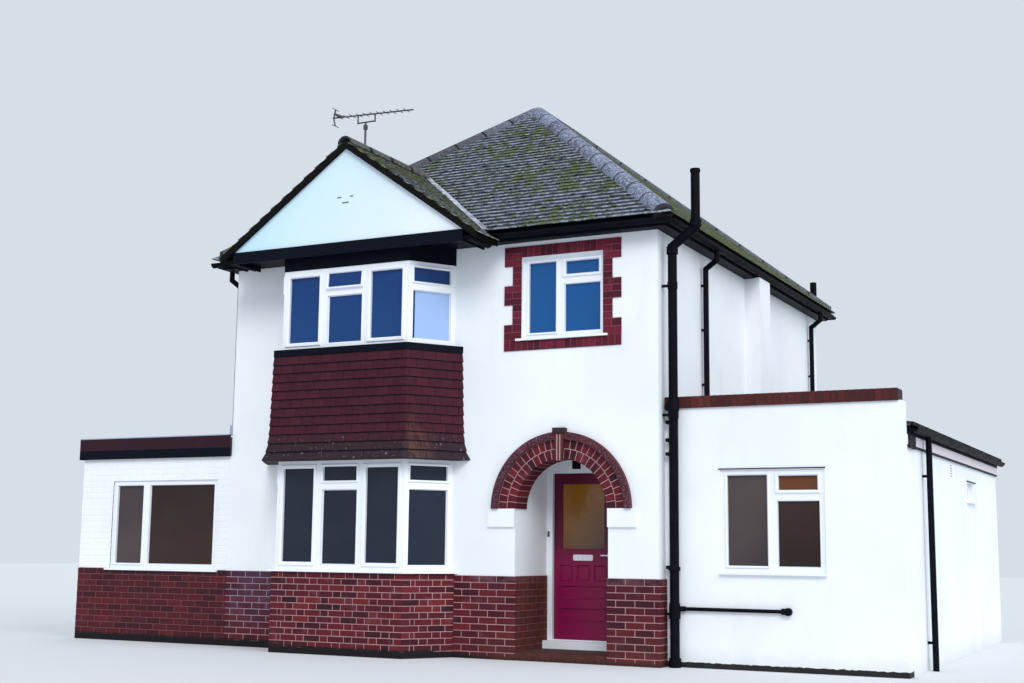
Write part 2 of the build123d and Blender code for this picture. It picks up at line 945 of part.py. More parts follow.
def brick_plinth():
    """Brickwork proud of the render: along the left wing, beside the bay and round both porch corners."""
    z = (0, plinth_height)
    y = (front - plinth_proud, front)
    bay_foot = bay_points(0)
    wing = block((left_wing_end, bay_foot[0][0] - joint_gap), y, z)
    middle_x = (bay_foot[3][0] + joint_gap, porch_left + plinth_proud)
    middle = block(middle_x, (front - plinth_proud, porch_back), z)
    middle -= block((bay_foot[3][0], porch_left), (front, porch_back), z)
    pier = block((porch_right - plinth_proud, right + plinth_proud), (front - plinth_proud, porch_back), z)
    pier -= block((porch_right, right + plinth_proud), (front, porch_back), z)
    pier += block((right, right + plinth_proud), (front - plinth_proud, front + right_set_back), z)
    floor = block((porch_left, porch_right), (front, porch_back), (0, porch_floor_top))
    left_sill_x = left - left_window_from_main - left_window_width - sill_ear
    left_sill = (left_window_bottom - sill_thickness, left_window_bottom)
    wing -= block((left_sill_x, left - left_window_from_main + sill_ear), y, left_sill)
    sill = bay_sill()
    return [wing - sill, middle - floor - sill, pier - floor]


# Eaves, gutters and pipes

fascia_z = (fascia_bottom, tile_foot)


def eaves_run(length):
    """A fascia and soffit for an eaves that runs along X with the wall at Y = 0 and the roof above."""
    fascia = block((0, length), (-box_overhang - board, -box_overhang), fascia_z)
    soffit = block((0, length), (-box_overhang, 0), (eaves_height - soffit_board, eaves_height))
    return fascia + soffit


def eaves_boards():
    """Black boards boxed under the main roof's edge, in lengths that butt at the corners."""
    box = box_overhang
    out = box_overhang + board
    gable_left = gable_x - gable_half_width
    gable_right = gable_x + gable_half_width
    flush = joint_gap
    front_y = (front - out, front - box)
    right_front = Pos(gable_right + flush, front, 0) * eaves_run(right - gable_right - 2 * flush)
    right_front += block((right - flush, right + out), front_y, fascia_z)
    left_front = Pos(left + flush, front, 0) * eaves_run(gable_left - left - 2 * flush)
    left_front += block((left - out, left + flush), front_y, fascia_z)
    side = main_depth + 2 * box - 2 * flush
    east = Pos(right, front - box + flush, 0) * Rot(0, 0, 90) * eaves_run(side)
    west = Pos(left, rear + box - flush, 0) * Rot(0, 0, -90) * eaves_run(side)
    back = Pos(right - flush, rear, 0) * Rot(0, 0, 180) * eaves_run(main_width - 2 * flush)
    back += block((left - out, right + out), (rear + box, rear + out), fascia_z)
    return [right_front, left_front, east - flue_breast(), west, back]


def below_rim(radius):
    return Pos(0, -radius / 2) * Rectangle(2 * radius, radius)


def trough(length, radius):
    """A half-round gutter along X with its rim at Z = 0."""
    ring = Circle(radius) - Circle(radius - gutter_skin)
    return extrude(Plane.YZ * (ring & below_rim(radius)), amount=length)


gutter_out = box_overhang + board + gutter_radius
gable_gutter_top = gable_base - 2 * gutter_radius * gable_slope - joint_gap


def gable_gutter(x):
    """A short gutter on the gable's side board with a stop end at the front."""
    length = gable_out - box_overhang - board - joint_gap
    place = Pos(x, gable_face, gable_gutter_top) * Rot(0, 0, 90)
    stop = extrude(Plane.YZ * (Circle(gutter_radius) & below_rim(gutter_radius)), amount=gutter_skin)
    return place * (trough(length, gutter_radius) + stop)


def gutters():
    """Half-round gutters on the fascias, in lengths that butt at the corners."""
    ends = gutter_out + gutter_radius
    inner = gutter_out - gutter_radius - joint_gap
    gable_end = gable_eave_half_width + joint_gap
    start = gable_x + gable_end
    front_run = Pos(start, front - gutter_out, gutter_top) * trough(right + ends - start, gutter_radius)
    stub_length = gable_x - gable_end - left + ends
    stub = Pos(left - ends, front - gutter_out, gutter_top) * trough(stub_length, gutter_radius)
    side = main_depth + 2 * inner
    east = Pos(right + gutter_out, front - inner, gutter_top) * Rot(0, 0, 90) * trough(side, gutter_radius)
    west = Pos(left - gutter_out, rear + inner, gutter_top) * Rot(0, 0, -90) * trough(side, gutter_radius)
    back = Pos(left - ends, rear + gutter_out, gutter_top) * trough(main_width + 2 * ends, gutter_radius)
    gable_side = gable_half_width + gutter_radius
    short = [gable_gutter(gable_x - gable_side), gable_gutter(gable_x + gable_side)]
    return [front_run, stub, east, west, back] + short


def clip(x, y, z, reach):
    """A strap that holds a pipe to a wall: it runs from the pipe's middle to the wall along X or Y."""
    side_x = 0 if reach[0] else clip_width / 2
    side_y = 0 if reach[1] else clip_width / 2
    low = (min(x, x + reach[0]) - side_x, min(y, y + reach[1]) - side_y)
    high = (max(x, x + reach[0]) + side_x, max(y, y + reach[1]) + side_y)
    return block((low[0], high[0]), (low[1], high[1]), (z - clip_height / 2, z + clip_height / 2))


def wall_pipe(x, y, foot, away):
    """A downpipe on a wall with a swan neck up to the gutter; away points out of the wall along X."""
    near = x + away * pipe_off_wall
    far = x + away * gutter_out
    low, high = gutter_bottom - swan_neck_bottom, gutter_bottom - swan_neck_top
    body = pipe([(near, y, foot), (near, y, low), (far, y, high), (far, y, gutter_bottom)], downpipe_radius)
    for z in (foot + first_clip, (foot + gutter_bottom) / 2, gutter_bottom - last_clip):
        body += clip(near, y, z, (-away * pipe_off_wall, 0))
    return body


def wing_pipe():
    """The straight pipe down the right wing's side from under its gutter to the ground."""
    x, y = right_wing_side + right_fascia + gutter_radius, front + wing_pipe_from_front
    top = right_gutter_top - gutter_radius
    body = bar((x, y, 0), (x, y, top), downpipe_radius, pipe_sides)
    for z in (first_clip, top - last_clip):
        body += clip(x, y, z, (right_wing_side - x, 0))
    return body


def downpipes():
    """Pipes from the gutters: two on the right wall over the wing, one on the left wall, one on the wing."""
    return [
        wall_pipe(right, front + side_pipe_from_front, right_roof_high, 1),
        wall_pipe(right, front + rear_pipe_from_front, right_roof_high, 1),
        wall_pipe(left, front + left_pipe_from_front, left_fascia_top, -1),
        wing_pipe(),
    ]


def soil_pipe(x, y, away):
    """A soil pipe up a wall with a swan neck round the gutter; away is X and Y out of the wall."""
    lower = (x + away[0] * stack_out, y + away[1] * stack_out)
    upper = (x + away[0] * stack_upper_out, y + away[1] * stack_upper_out)
    bend = eaves_height - stack_bend_drop
    top = eaves_height + stack_rise
    body = pipe([(*lower, 0), (*lower, bend), (*upper, bend + stack_bend_rise), (*upper, top)], stack_radius)
    for z in stack_clips:
        skin = plinth_proud if away[0] and z < plinth_height else 0
        body += clip(*lower, z, (away[0] * (skin - stack_out), -away[1] * stack_out))
        half = stack_collar_height / 2
        body += bar((*lower, z - half), (*lower, z + half), stack_radius + stack_collar, pipe_sides)
    return body


def soil_stack():
    """The soil pipe at the front corner with the waste pipe into it, and the one on the rear wall."""
    x, y = right + stack_out, front + stack_from_corner
    end = x + waste_length
    along = right_wing_front - waste_radius - waste_gap
    plan = [(x, y), (x + waste_branch, along), (end, along), (end, right_wing_front)]
    waste = pipe([(px, py, waste_height) for px, py in plan], waste_radius)
    half = waste_boss_height / 2
    ends = (x, y, waste_height - half), (x, y, waste_height + half)
    boss = bar(*ends, stack_radius + waste_boss, pipe_sides)
    return [soil_pipe(right, y, (1, 0)) + (boss + waste), soil_pipe(right - stack_from_corner, rear, (0, 1))]


# Left wing

def wing_window_hole(x, y, bottom, width, height):
    return block((x, x + width), y, (bottom - sill_thickness, bottom + height))


def left_front_wall():
    y = (front, front + wing_wall)
    slab = block((left_wing_end, left), y, (0, left_wall_height))
    x = left - left_window_from_main - left_window_width
    return slab - wing_window_hole(x, y, left_window_bottom, left_window_width, left_window_height)


def left_side_wall():
    x = (left_wing_end, left_wing_end + wing_wall)
    return block(x, (front + wing_wall, front + left_depth), (0, left_wall_height))


def left_rear_wall():
    y = (front + left_depth - wing_wall, front + left_depth)
    return block((left_wing_end + wing_wall, left), y, (0, left_wall_height))


left_roof_edge = left_wing_end - left_roof_overhang


def left_roof():
    out = left_roof_overhang
    top = left_wall_height + left_roof_depth
    return block((left_roof_edge, left), (front - out, front + left_depth + out), (left_wall_height, top))


def left_fascia_ring(z, thickness):
    """A board round the flat roof's three free edges."""
    near, far = front - left_roof_overhang, front + left_depth + left_roof_overhang
    outer = block((left_roof_edge - thickness, left), (near - thickness, far + thickness), z)
    return outer - block((left_roof_edge, left), (near, far), z)


def left_fascia():
    return left_fascia_ring((left_fascia_split, left_fascia_top), board)


def left_under_fascia():
    return left_fascia_ring((left_fascia_bottom, left_fascia_split), board)


# Right wing

def right_front_wall():
    y = (right_wing_front, right_wing_front + wing_wall)
    slab = block((right, right + right_width), y, (0, right_parapet))
    x = right + right_window_from_main
    return slab - wing_window_hole(x, y, right_window_bottom, right_window_width, right_window_height)


def right_coping():
    x = (right, right + right_width - coping_short)
    y = (right_wing_front - coping_proud, right_wing_front + wing_wall)
    return block(x, y, (right_parapet, right_parapet + coping_height))


right_roof_x = right_wing_side + right_roof_overhang
right_roof_fall = (right_roof_high - right_roof_edge) / (right_roof_x - right)
right_roof_y = (right_wing_front + wing_wall, rear + right_roof_tail)


def right_roof_under(x):
    """Height of the lean-to roof's underside at a distance from the main wall."""
    return right_roof_high - right_roof_depth - (x - right) * right_roof_fall


def right_side_wall():
    start = right_wing_front + wing_wall
    inner, outer = right_wing_side - wing_wall, right_wing_side
    section = [(inner, 0), (outer, 0), (outer, right_roof_under(outer)), (inner, right_roof_under(inner))]
    slab = prism([(x, start, z) for x, z in section], (0, rear - start, 0))
    y = front + wing_light_from_front
    z = (wing_light_bottom - sill_thickness, wing_light_bottom + wing_light_height)
    return slab - block((inner, outer), (y, y + wing_light_width), z)


def right_rear_wall():
    inner = right_wing_side - wing_wall
    section = [(right, 0), (inner, 0), (inner, right_roof_under(inner)), (right, right_roof_under(right))]
    return prism([(x, rear - wing_wall, z) for x, z in section], (0, wing_wall, 0))


def right_roof():
    """A low lean-to roof that falls to the right behind the parapet."""
    foot = right_roof_edge - right_roof_edge_depth
    inner, outer = right, right_wing_side
    section = [(inner, right_roof_under(inner)), (inner, right_roof_high), (right_roof_x, right_roof_edge),
               (right_roof_x, foot), (outer, foot), (outer, right_roof_under(outer))]
    roof = prism([(x, right_roof_y[0], z) for x, z in section], (0, right_roof_y[1] - right_roof_y[0], 0))
    return roof - flue_breast()


def right_fascia_board():
    """The board under the lean-to roof's edge, and the bead under the pale frieze."""
    fascia_z = (right_fascia_bottom, right_roof_edge - right_roof_edge_depth)
    fascia = block((right_wing_side, right_wing_side + right_fascia), right_roof_y, fascia_z)
    bead_x = (right_wing_side, right_wing_side + board + frieze_bead_proud)
    bead = block(bead_x, (right_roof_y[0], rear), (frieze_bottom - frieze_bead, frieze_bottom))
    return [fascia, bead]


def wing_frieze():
    """The pale board along the top of the lean-to's wall."""
    x = (right_wing_side, right_wing_side + board)
    return block(x, (right_roof_y[0], rear), (frieze_bottom, right_fascia_bottom))


def right_gutter():
    start = right_roof_y[0] + joint_gap
    place = Pos(right_wing_side + right_fascia + gutter_radius, start, right_gutter_top)
    return place * Rot(0, 0, 90) * trough(right_roof_y[1] - start, gutter_radius)


# Aerial and lamp

def aerial():
    """A mast on the gable's ridge: a bracket, a boom with cross rods and a reflector at its left end."""
    y = front - aerial_from_front
    ridge = gable_apex + gable_tile - gable_ridge_sunk + gable_ridge_radius
    boom_z = gable_apex + gable_tile + aerial_rise
    bracket_z = boom_z - aerial_bracket_drop
    near, far = gable_x - aerial_bracket_left, gable_x + aerial_bracket_right
    start, end = gable_x - aerial_boom_left, gable_x + aerial_boom_right
    body = bar((gable_x, y, ridge), (gable_x, y, bracket_z), aerial_mast_radius, 12)
    clamp_top = bracket_z - aerial_clamp_drop
    half = aerial_clamp / 2
    clamp_z = (clamp_top - aerial_clamp_height, clamp_top)
    body += block((gable_x - half, gable_x + half), (y - half, y + half), clamp_z)
    body += bar((near, y, bracket_z), (far, y, bracket_z), aerial_boom_radius, 8)
    for x in (near, far):
        body += bar((x, y, bracket_z - aerial_boom_radius), (x, y, boom_z), aerial_boom_radius, 8)
    left_end = (start, y, boom_z + aerial_boom_fall)
    right_end = (end, y, boom_z - aerial_boom_fall)
    body += bar(left_end, right_end, aerial_boom_radius, 8)
    tilt = 2 * aerial_boom_fall / (end - start)
    for i in range(aerial_elements):
        x = start + (i + 1) * (end - start) / (aerial_elements + 1)
        z = left_end[2] - (x - start) * tilt
        body += bar((x, y - aerial_element_half, z), (x, y + aerial_element_half, z), aerial_rod_radius, 6)
    for side in (-1, 1):
        tip = (start + aerial_reflector_slant, y, left_end[2] + side * aerial_reflector_half)
        body += bar((start + aerial_boom_radius, y, left_end[2]), tip, aerial_boom_radius, 8)
        low, high = (tip[0], y - aerial_element_half, tip[2]), (tip[0], y + aerial_element_half, tip[2])
        body += bar(low, high, aerial_rod_radius, 6)
    upper = (start + aerial_reflector_slant / 2, y, left_end[2] + aerial_reflector_half / 2)
    lower = (start + aerial_box_length, y, left_end[2] - aerial_box_length * tilt)
    return body + bar(upper, lower, aerial_box_radius, 8)


def porch_lamp():
    """A small lantern on a stem from the porch ceiling."""
    y = front + porch_depth / 2
    neck = ceiling_under - lamp_stem
    stem = rod((porch_x, y, neck), (porch_x, y, ceiling_under), lamp_stem_radius)
    return stem + bar((porch_x, y, neck - lamp_height), (porch_x, y, neck), lamp_radius, lamp_sides)


def solids_of(shapes):
    """Every solid in a shape or a list of shapes."""
    if not isinstance(shapes, (list, tuple)):
        shapes = [shapes]
    return [solid for shape in shapes for solid in shape.solids()]


def save(name, shapes):
    found = solids_of(shapes)
    export_step(found[0] if len(found) == 1 else Compound(children=found), f"parts/{name}.step")


def main():
    os.makedirs("parts", exist_ok=True)
    lower_frame, lower_panes = bay_window(bay_frame_setback, bay_base_height, bay_lower_head)
    upper_frame, upper_panes = bay_window(bay_frame_setback, bay_strip_top, bay_upper_head)
    frames, sills, panes = [], [], []
    for plane, width, height, columns, opener, setback, ear in flat_window_list():
        frame, glass = flat_window(plane, width, height, columns, opener)
        frames.append(frame)
        sills.append(flat_sill(plane, width, setback, ear))
        panes += glass
    walls = front_walls()
    nodes = {
        "ground_floor": ground_floor(),
        "first_floor": first_floor(),
        "ceilings": ceilings(),
        "front_wall_left": walls[0],
        "front_wall_middle": walls[1],
        "front_wall_pier": walls[2],
        "front_wall_over_porch": walls[3],
        "bay_beams": bay_beams(),
        "left_wall": side_wall((left, left + wall)),
        "right_wall": side_wall((right - wall, right)),
        "rear_wall": rear_wall(),
        "flue_breast": flue_breast(),
        "porch_side_walls": porch_side_walls(),
        "porch_back_pier": porch_back_pier(),
        "porch_over_door": porch_over_door(),
        "porch_floor": porch_floor(),
        "arch_ring": arch_ring_bricks(),
        "arch_hood": arch_hood_mould(),
        "arch_keystone": keystone_block(),
        "arch_imposts": arch_imposts(),
        "brick_plinth": brick_plinth(),
        "bay_base": bay_base(),
        "bay_sill": bay_sill(),
        "bay_lower_frame": lower_frame,
        "bay_apron": bay_apron(),
        "bay_boards": bay_boards(),
        "bay_upper_frame": upper_frame,
        "bay_glass": lower_panes + upper_panes,
        "window_frames": frames,
        "window_sills": sills,
        "window_glass": panes,
        "window_surround": window_surround(),
        "gable_wall": gable_wall(),
        "gable_fascia": gable_fascia(),
        "gable_soffit": gable_soffit(),
        "gable_roof": gable_roof(),
        "main_roof": main_roof(),
        "ridge_tiles": ridge_tiles(),
        "eaves_boards": eaves_boards() + [left_under_fascia()] + right_fascia_board(),
        "wing_frieze": wing_frieze(),
        "gutters": gutters() + [right_gutter()],
        "downpipes": downpipes(),
        "soil_stack": soil_stack(),
        "door_frame": door_frame(),
        "door_hinges": door_hinges(),
        "door_leaf": door_leaf(),
        "door_glass": door_glass(),
        "door_furniture": door_furniture(),
        "left_front_wall": left_front_wall(),
        "left_fascia": left_fascia(),
        "left_roof": left_roof(),
        "wing_side_walls": [left_side_wall(), right_side_wall()],
        "wing_rear_walls": [left_rear_wall(), right_rear_wall()],
        "right_front_wall": right_front_wall(),
        "right_coping": right_coping(),
        "right_roof": right_roof(),
        "aerial": aerial(),
        "porch_lamp": porch_lamp(),
    }
    for name, shapes in nodes.items():
        save(name, shapes)


main()
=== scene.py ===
# A detached rendered house with a canted bay, an arched brick porch and a wing on each side:
# brickwork, tiling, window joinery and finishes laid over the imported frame.
import random
from math import atan2, ceil, cos, pi, radians, sin, tan

import bmesh
import bpy
import numpy as np
from mathutils import Matrix, Vector


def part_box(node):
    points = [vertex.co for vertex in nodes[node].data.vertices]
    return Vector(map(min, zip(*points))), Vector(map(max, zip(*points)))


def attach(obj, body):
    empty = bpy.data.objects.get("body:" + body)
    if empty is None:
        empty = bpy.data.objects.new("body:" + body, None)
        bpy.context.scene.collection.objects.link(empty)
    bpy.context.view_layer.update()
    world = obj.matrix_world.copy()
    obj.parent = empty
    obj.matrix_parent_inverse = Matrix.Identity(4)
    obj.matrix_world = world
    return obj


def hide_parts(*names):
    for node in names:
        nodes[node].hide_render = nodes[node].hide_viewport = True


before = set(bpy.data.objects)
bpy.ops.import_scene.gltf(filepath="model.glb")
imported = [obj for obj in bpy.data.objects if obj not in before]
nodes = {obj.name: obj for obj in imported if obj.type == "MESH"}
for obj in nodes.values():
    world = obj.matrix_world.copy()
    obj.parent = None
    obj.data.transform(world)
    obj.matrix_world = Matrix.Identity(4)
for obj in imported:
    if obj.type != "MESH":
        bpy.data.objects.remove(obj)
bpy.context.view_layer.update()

chance = random.Random(7)
up = Vector((0, 0, 1))


# Shader wiring

class Wire:
    # An output socket. A sum, product or comparison of wires becomes a Math node.
    def __init__(self, web, socket):
        self.web = web
        self.socket = socket

    def math(self, operation, first, second):
        return self.web.add("Math", {"operation": operation}, {0: first, 1: second})

    def __add__(self, other):
        return self.math("ADD", self, other)

    def __sub__(self, other):
        return self.math("SUBTRACT", self, other)

    def __rsub__(self, other):
        return self.math("SUBTRACT", other, self)

    def __mul__(self, other):
        return self.math("MULTIPLY", self, other)

    def __lt__(self, other):
        return self.math("LESS_THAN", self, other)

    def __gt__(self, other):
        return self.math("GREATER_THAN", self, other)

    __radd__ = __add__
    __rmul__ = __mul__

    def within(self, low, high):
        # 1 between two values, 0 outside them
        return (self > low) * (self < high)

    def spread(self, low, high, first=0, second=1):
        # its stretch from low to high, laid over first to second and held there
        inputs = {0: self, 1: low, 2: high, 3: first, 4: second}
        return self.web.add("MapRange", {"clamp": True}, inputs)


def shade(red, green, blue):
    # a screen colour, 0 to 255 a channel, as the linear colour that a shader takes
    linear = [((c / 255 + 0.055) / 1.055) ** 2.4 if c > 10 else c / 3295 for c in (red, green, blue)]
    return (*linear, 1)


class Web:
    # A material's or world's nodes. add() makes any node: its settings first, then its values and links.
    def __init__(self, owner):
        owner.use_nodes = True
        self.tree = owner.node_tree

    def add(self, kind, settings=None, inputs=None, out=0):
        node = self.tree.nodes.new("ShaderNode" + kind)
        for key, value in (settings or {}).items():
            if key == "stops":
                ramp = node.color_ramp
                while len(ramp.elements) < len(value):
                    ramp.elements.new(0.5)
                for element, (position, colour) in zip(ramp.elements, value):
                    element.position = position
                    element.color = shade(*colour)
            else:
                setattr(node, key, value)
        for key, value in (inputs or {}).items():
            self.join(node.inputs[key], value)
        return Wire(self, node.outputs[out])

    def join(self, socket, value):
        if isinstance(value, Wire):
            self.tree.links.new(value.socket, socket)
        else:
            socket.default_value = value


class Finish(Web):
    # One material, with the place on the house along each axis
    def __init__(self, name):
        self.material = bpy.data.materials.new(name)
        super().__init__(self.material)
        self.place = self.add("TexCoord", out="Object")
        self.x, self.y, self.z = [self.add("SeparateXYZ", None, {0: self.place}, out=axis) for axis in "XYZ"]

    def zone(self, wide, deep, tall):
        # 1 inside a box of the house, 0 outside it
        return self.x.within(*wide) * self.y.within(*deep) * self.z.within(*tall)

    def fact(self, name):
        return self.add("Attribute", {"attribute_name": name}, out="Fac")

    def noise(self, scale, detail=3, rough=0.5, stretch=(1, 1, 1)):
        place = self.add("Mapping", None, {"Vector": self.place, "Scale": stretch})
        inputs = {"Vector": place, "Scale": scale, "Detail": detail, "Roughness": rough}
        return self.add("TexNoise", None, inputs)

    def ramp(self, value, stops):
        return self.add("ValToRGB", {"stops": stops}, {0: value})

    def mix(self, amount, first, second):
        # two colours, each a wire or a screen colour
        first, second = [c if isinstance(c, Wire) else shade(*c) for c in (first, second)]
        return self.add("Mix", {"data_type": "RGBA"}, {0: amount, 6: first, 7: second}, out=2)

    def coats(self, base, *layers):
        # lays colours over a base one after the other, each as strongly as its mask says
        for mask, colour in layers:
            base = self.mix(mask, base, colour)
        return base

    def surface(self, colour, roughness, relief=None, depth=0, strength=0, shine=0.5, metallic=0, alpha=1):
        inputs = {"Base Color": colour, "Roughness": roughness, "Specular IOR Level": shine,
                  "Metallic": metallic, "Alpha": alpha}
        if relief:
            bump = {"Strength": strength, "Distance": depth, "Height": relief}
            inputs["Normal"] = self.add("Bump", None, bump)
        for key, value in inputs.items():
            self.join(self.tree.nodes["Principled BSDF"].inputs[key], value)
        return self.material


# Finishes. Places are in metres, as x, y and z of the house

walls = {
    "gable": ((-9, 9), (-9, -4), (4.9, 9)),
    "splashTop": (0.08, 0.3),
    "rightFoot": 0.075,
}


def renderFinish(name, band=0):
    f = Finish(name)
    stipple = f.noise(140, 3, 0.6)
    stain = f.noise(2.6, 5, stretch=(1, 1, 0.35)).spread(0.56, 0.78)
    splash = (f.z + f.noise(7, 4) * 0.14).spread(*walls["splashTop"], 1, 0)
    colour = f.mix(f.noise(0.8, 3).spread(0.35, 0.7), (240, 243, 245), (231, 236, 240))
    colour = f.coats(colour, (stain * 0.22, (196, 199, 196)), (splash * 0.3, (168, 162, 150)))
    if band:
        colour = f.mix(f.z + f.noise(16, 3) * 0.03 < band, colour, (18, 20, 24))
    # painted shade: the gable face is tinted bluish, most at its top left
    sky = f.zone(*walls["gable"]) * (f.x - f.z * 0.5).spread(-5, -2.2, 0.9, 0.2)
    colour = f.mix(sky, colour, (186, 224, 240))
    relief = f.noise(30, 4) * 0.5 + stipple * 0.5
    return f.surface(colour, stipple.spread(0.3, 0.7, 0.78, 0.92), relief, 0.003, 0.5)


brickwork = {
    "houseLeft": -2.96,
    "bayLeft": -2.2,
    "bayRight": 0.6,
    "saltsWide": (-3, -2.19),
    "saltsFade": (-2.96, -2.85),
    "wingTop": (0.87, 0.96),
    "plinthCap": (0.878, 0.96),
    "plinthTop": 1,
    "porchSides": ((1.1, 2.5), (-3.44, -2.6), (-1, 1)),
    "porchTread": ((1.18, 2.36), (-3.46, -2.6), (-1, 0.1)),
    "tarTop": (0.05, 0.075),
    "tarRise": 0.055,
    "tarFalls": (0.2, 0.5),
    "splashSide": (0.6, 1),
    "splashTop": (0.15, 0.5),
}


def tarMask(f):
    # the tarred foot of the brickwork, higher at the bay than right of it
    height = f.z + f.noise(9, 3) * 0.05 - f.x.spread(*brickwork["tarFalls"], brickwork["tarRise"], 0)
    return height.spread(*brickwork["tarTop"], 1, 0)


def brickFinish(name, stops, patch=False, speckle=0.0):
    f = Finish(name)
    grain = f.noise(60, 4, 0.65)
    colour = f.coats(f.ramp(f.fact("tone"), stops),
                     (grain.spread(0.35, 0.75) * 0.4, (48, 16, 26)),
                     (f.noise(5.5, 4, 0.6).spread(0.58, 0.75) * 0.16, (150, 120, 132)))
    if speckle:
        colour = f.mix(f.noise(45, 5, 0.75).spread(0.5, 0.62) * speckle, colour, (138, 112, 130))
    if patch:
        # the wing's bricks are darker, with a dark top course and violet salts beside the bay
        wing = f.x < brickwork["bayLeft"]
        right = f.x > brickwork["bayRight"]
        salts = f.x.spread(*brickwork["saltsFade"]) * f.x.within(*brickwork["saltsWide"])
        salts = salts * f.noise(5, 4).spread(0.3, 0.6) * f.z.spread(0.1, 0.6)
        cap = f.z.within(*brickwork["plinthCap"]) * right * f.noise(7, 4).spread(0.35, 0.6)
        colour = f.coats(colour,
                         (wing * 0.45, (62, 20, 28)),
                         (wing * f.z.within(*brickwork["wingTop"]) * 0.6, (38, 16, 26)),
                         (salts * 0.4, (88, 66, 90)),
                         (right * (f.z < brickwork["plinthTop"]) * 0.3, (58, 16, 32)),
                         (cap * 0.5, (116, 84, 96)),
                         (f.zone(*brickwork["porchSides"]) * 0.6, (88, 46, 38)))
    splash = (f.z + f.noise(5, 3) * 0.2).spread(*brickwork["splashTop"], 1, 0)
    colour = f.coats(colour, (tarMask(f), (14, 12, 17)),
                     (f.x.spread(*brickwork["splashSide"]) * splash * 0.45, (92, 48, 34)))
    return f.surface(colour, grain.spread(0.3, 0.7, 0.62, 0.85), grain, 0.002, 0.6, 0.25)


def mortarFinish(name, colour=(184, 142, 140), dark=(156, 116, 118), wing=False):
    f = Finish(name)
    grain = f.noise(110, 3, 0.7)
    base = f.mix(f.noise(3, 3).spread(0.35, 0.7), colour, dark)
    if wing:
        left = brickwork["houseLeft"]
        besideBay = f.x.within(left, brickwork["bayLeft"]) * f.z.spread(0.05, 0.5)
        base = f.coats(base, (f.x < left, (108, 62, 62)), (besideBay, (158, 136, 154)),
                       (f.zone(*brickwork["porchSides"]), (122, 80, 70)),
                       (f.zone(*brickwork["porchTread"]), (60, 36, 34)))
    base = f.coats(base, (grain.spread(0.4, 0.7) * 0.3, (96, 70, 76)), (tarMask(f), (14, 12, 17)))
    return f.surface(base, 0.92, grain, 0.002, 0.6)


def roofTileFinish(name, mossy, flow=(2.8, 0.6, 0.6), deep=(38, 50, 24), bright=(108, 122, 54)):
    # worn pale tails, lichen spots, moss that runs down the slope, and a painted shadow line under each tail
    f = Finish(name)
    fleck = f.noise(30, 4, 0.7)
    tail = f.fact("fall").spread(0.66, 0.9)
    worn = f.noise(11, 4, 0.65).spread(0.36, 0.56)
    lichen = f.noise(34, 5, 0.75).spread(0.58, 0.68)
    streak = f.noise(6, 4, 0.6, flow) * 0.8 + f.noise(1.1, 2) * 0.4
    moss = (streak + fleck * 0.3 + mossy).spread(0.73, 0.84)
    colour = f.coats(f.ramp(f.fact("tone"), [(0, (34, 38, 50)), (0.5, (50, 56, 72)), (1, (72, 78, 96))]),
                     (tail * worn * 0.85, (178, 186, 202)),
                     (lichen * 0.55, (158, 168, 168)),
                     (moss * 0.85, f.mix(fleck, deep, bright)),
                     # painted shadow under the tail of the course above
                     (f.fact("fall").spread(0.32, 0.52, 0.95, 0), (6, 7, 12)))
    return f.surface(colour, 0.9, fleck + moss * 0.8, 0.006, 0.8, 0.2)


apronStain = {
    "foot": (2.55, 2.75),
    "left": (0.06, 0.12),
    "right": (0.9, 1.06),
    "lean": 0.3,
    "fades": (2.55, 2.95),
}


def hungTileFinish():
    f = Finish("hung_clay_tile")
    grain = f.noise(50, 4, 0.65)
    foot = (f.z + f.noise(3, 3) * 0.25).spread(*apronStain["foot"], 1, 0)
    ochre = f.x.spread(*apronStain["left"])
    ochre = ochre * (f.x + f.z * apronStain["lean"]).spread(*apronStain["right"], 1, 0)
    ochre = ochre * f.z.spread(*apronStain["fades"], 1, 0.15) * f.noise(14, 4).spread(0.35, 0.6)
    colour = f.coats(f.ramp(f.fact("tone"), [(0, (62, 20, 34)), (0.5, (66, 21, 36)), (1, (72, 24, 39))]),
                     (grain.spread(0.35, 0.75) * 0.4, (36, 18, 30)),
                     (foot * 0.75, (38, 34, 42)),
                     (f.noise(24, 4, 0.7).spread(0.62, 0.7) * foot * 0.8, (150, 150, 158)),
                     (ochre * 0.5, (104, 74, 56)),
                     # painted shadow under the tail of the course above
                     (f.fact("fall").spread(0.3, 0.42, 0.85, 0), (20, 8, 16)))
    return f.surface(colour, 0.8, grain, 0.002, 0.6, 0.2)


ridgeLook = {
    "darkLeft": (-0.6, 0.3),
    "darkRear": (-0.2, 0.3),
    "overGable": ((-1.02, -0.7), (-9, 9), (0, 6.5)),
}


def ridgeTileFinish():
    f = Finish("lichened_ridge_tile")
    pale = f.noise(30, 5, 0.75).spread(0.47, 0.6)
    dark = f.noise(22, 5, 0.75).spread(0.53, 0.64)
    ends = f.fact("fall").spread(0.94, 1) + f.fact("fall").spread(0, 0.05, 1, 0)
    colour = f.coats(f.ramp(f.fact("tone"), [(0, (74, 78, 96)), (1, (108, 114, 136))]),
                     (pale * 0.7, (180, 192, 216)),
                     (dark * 0.85, (40, 38, 48)),
                     (f.x.spread(*ridgeLook["darkLeft"], 0.8, 0), (52, 50, 50)),
                     (f.zone(*ridgeLook["overGable"]) * pale * 0.8, (112, 108, 84)),
                     (f.y.spread(*ridgeLook["darkRear"], 0, 0.75), (58, 62, 54)),
                     (ends * 0.8, (30, 28, 36)))
    return f.surface(colour, 0.9, f.noise(40, 4), 0.005, 0.7)


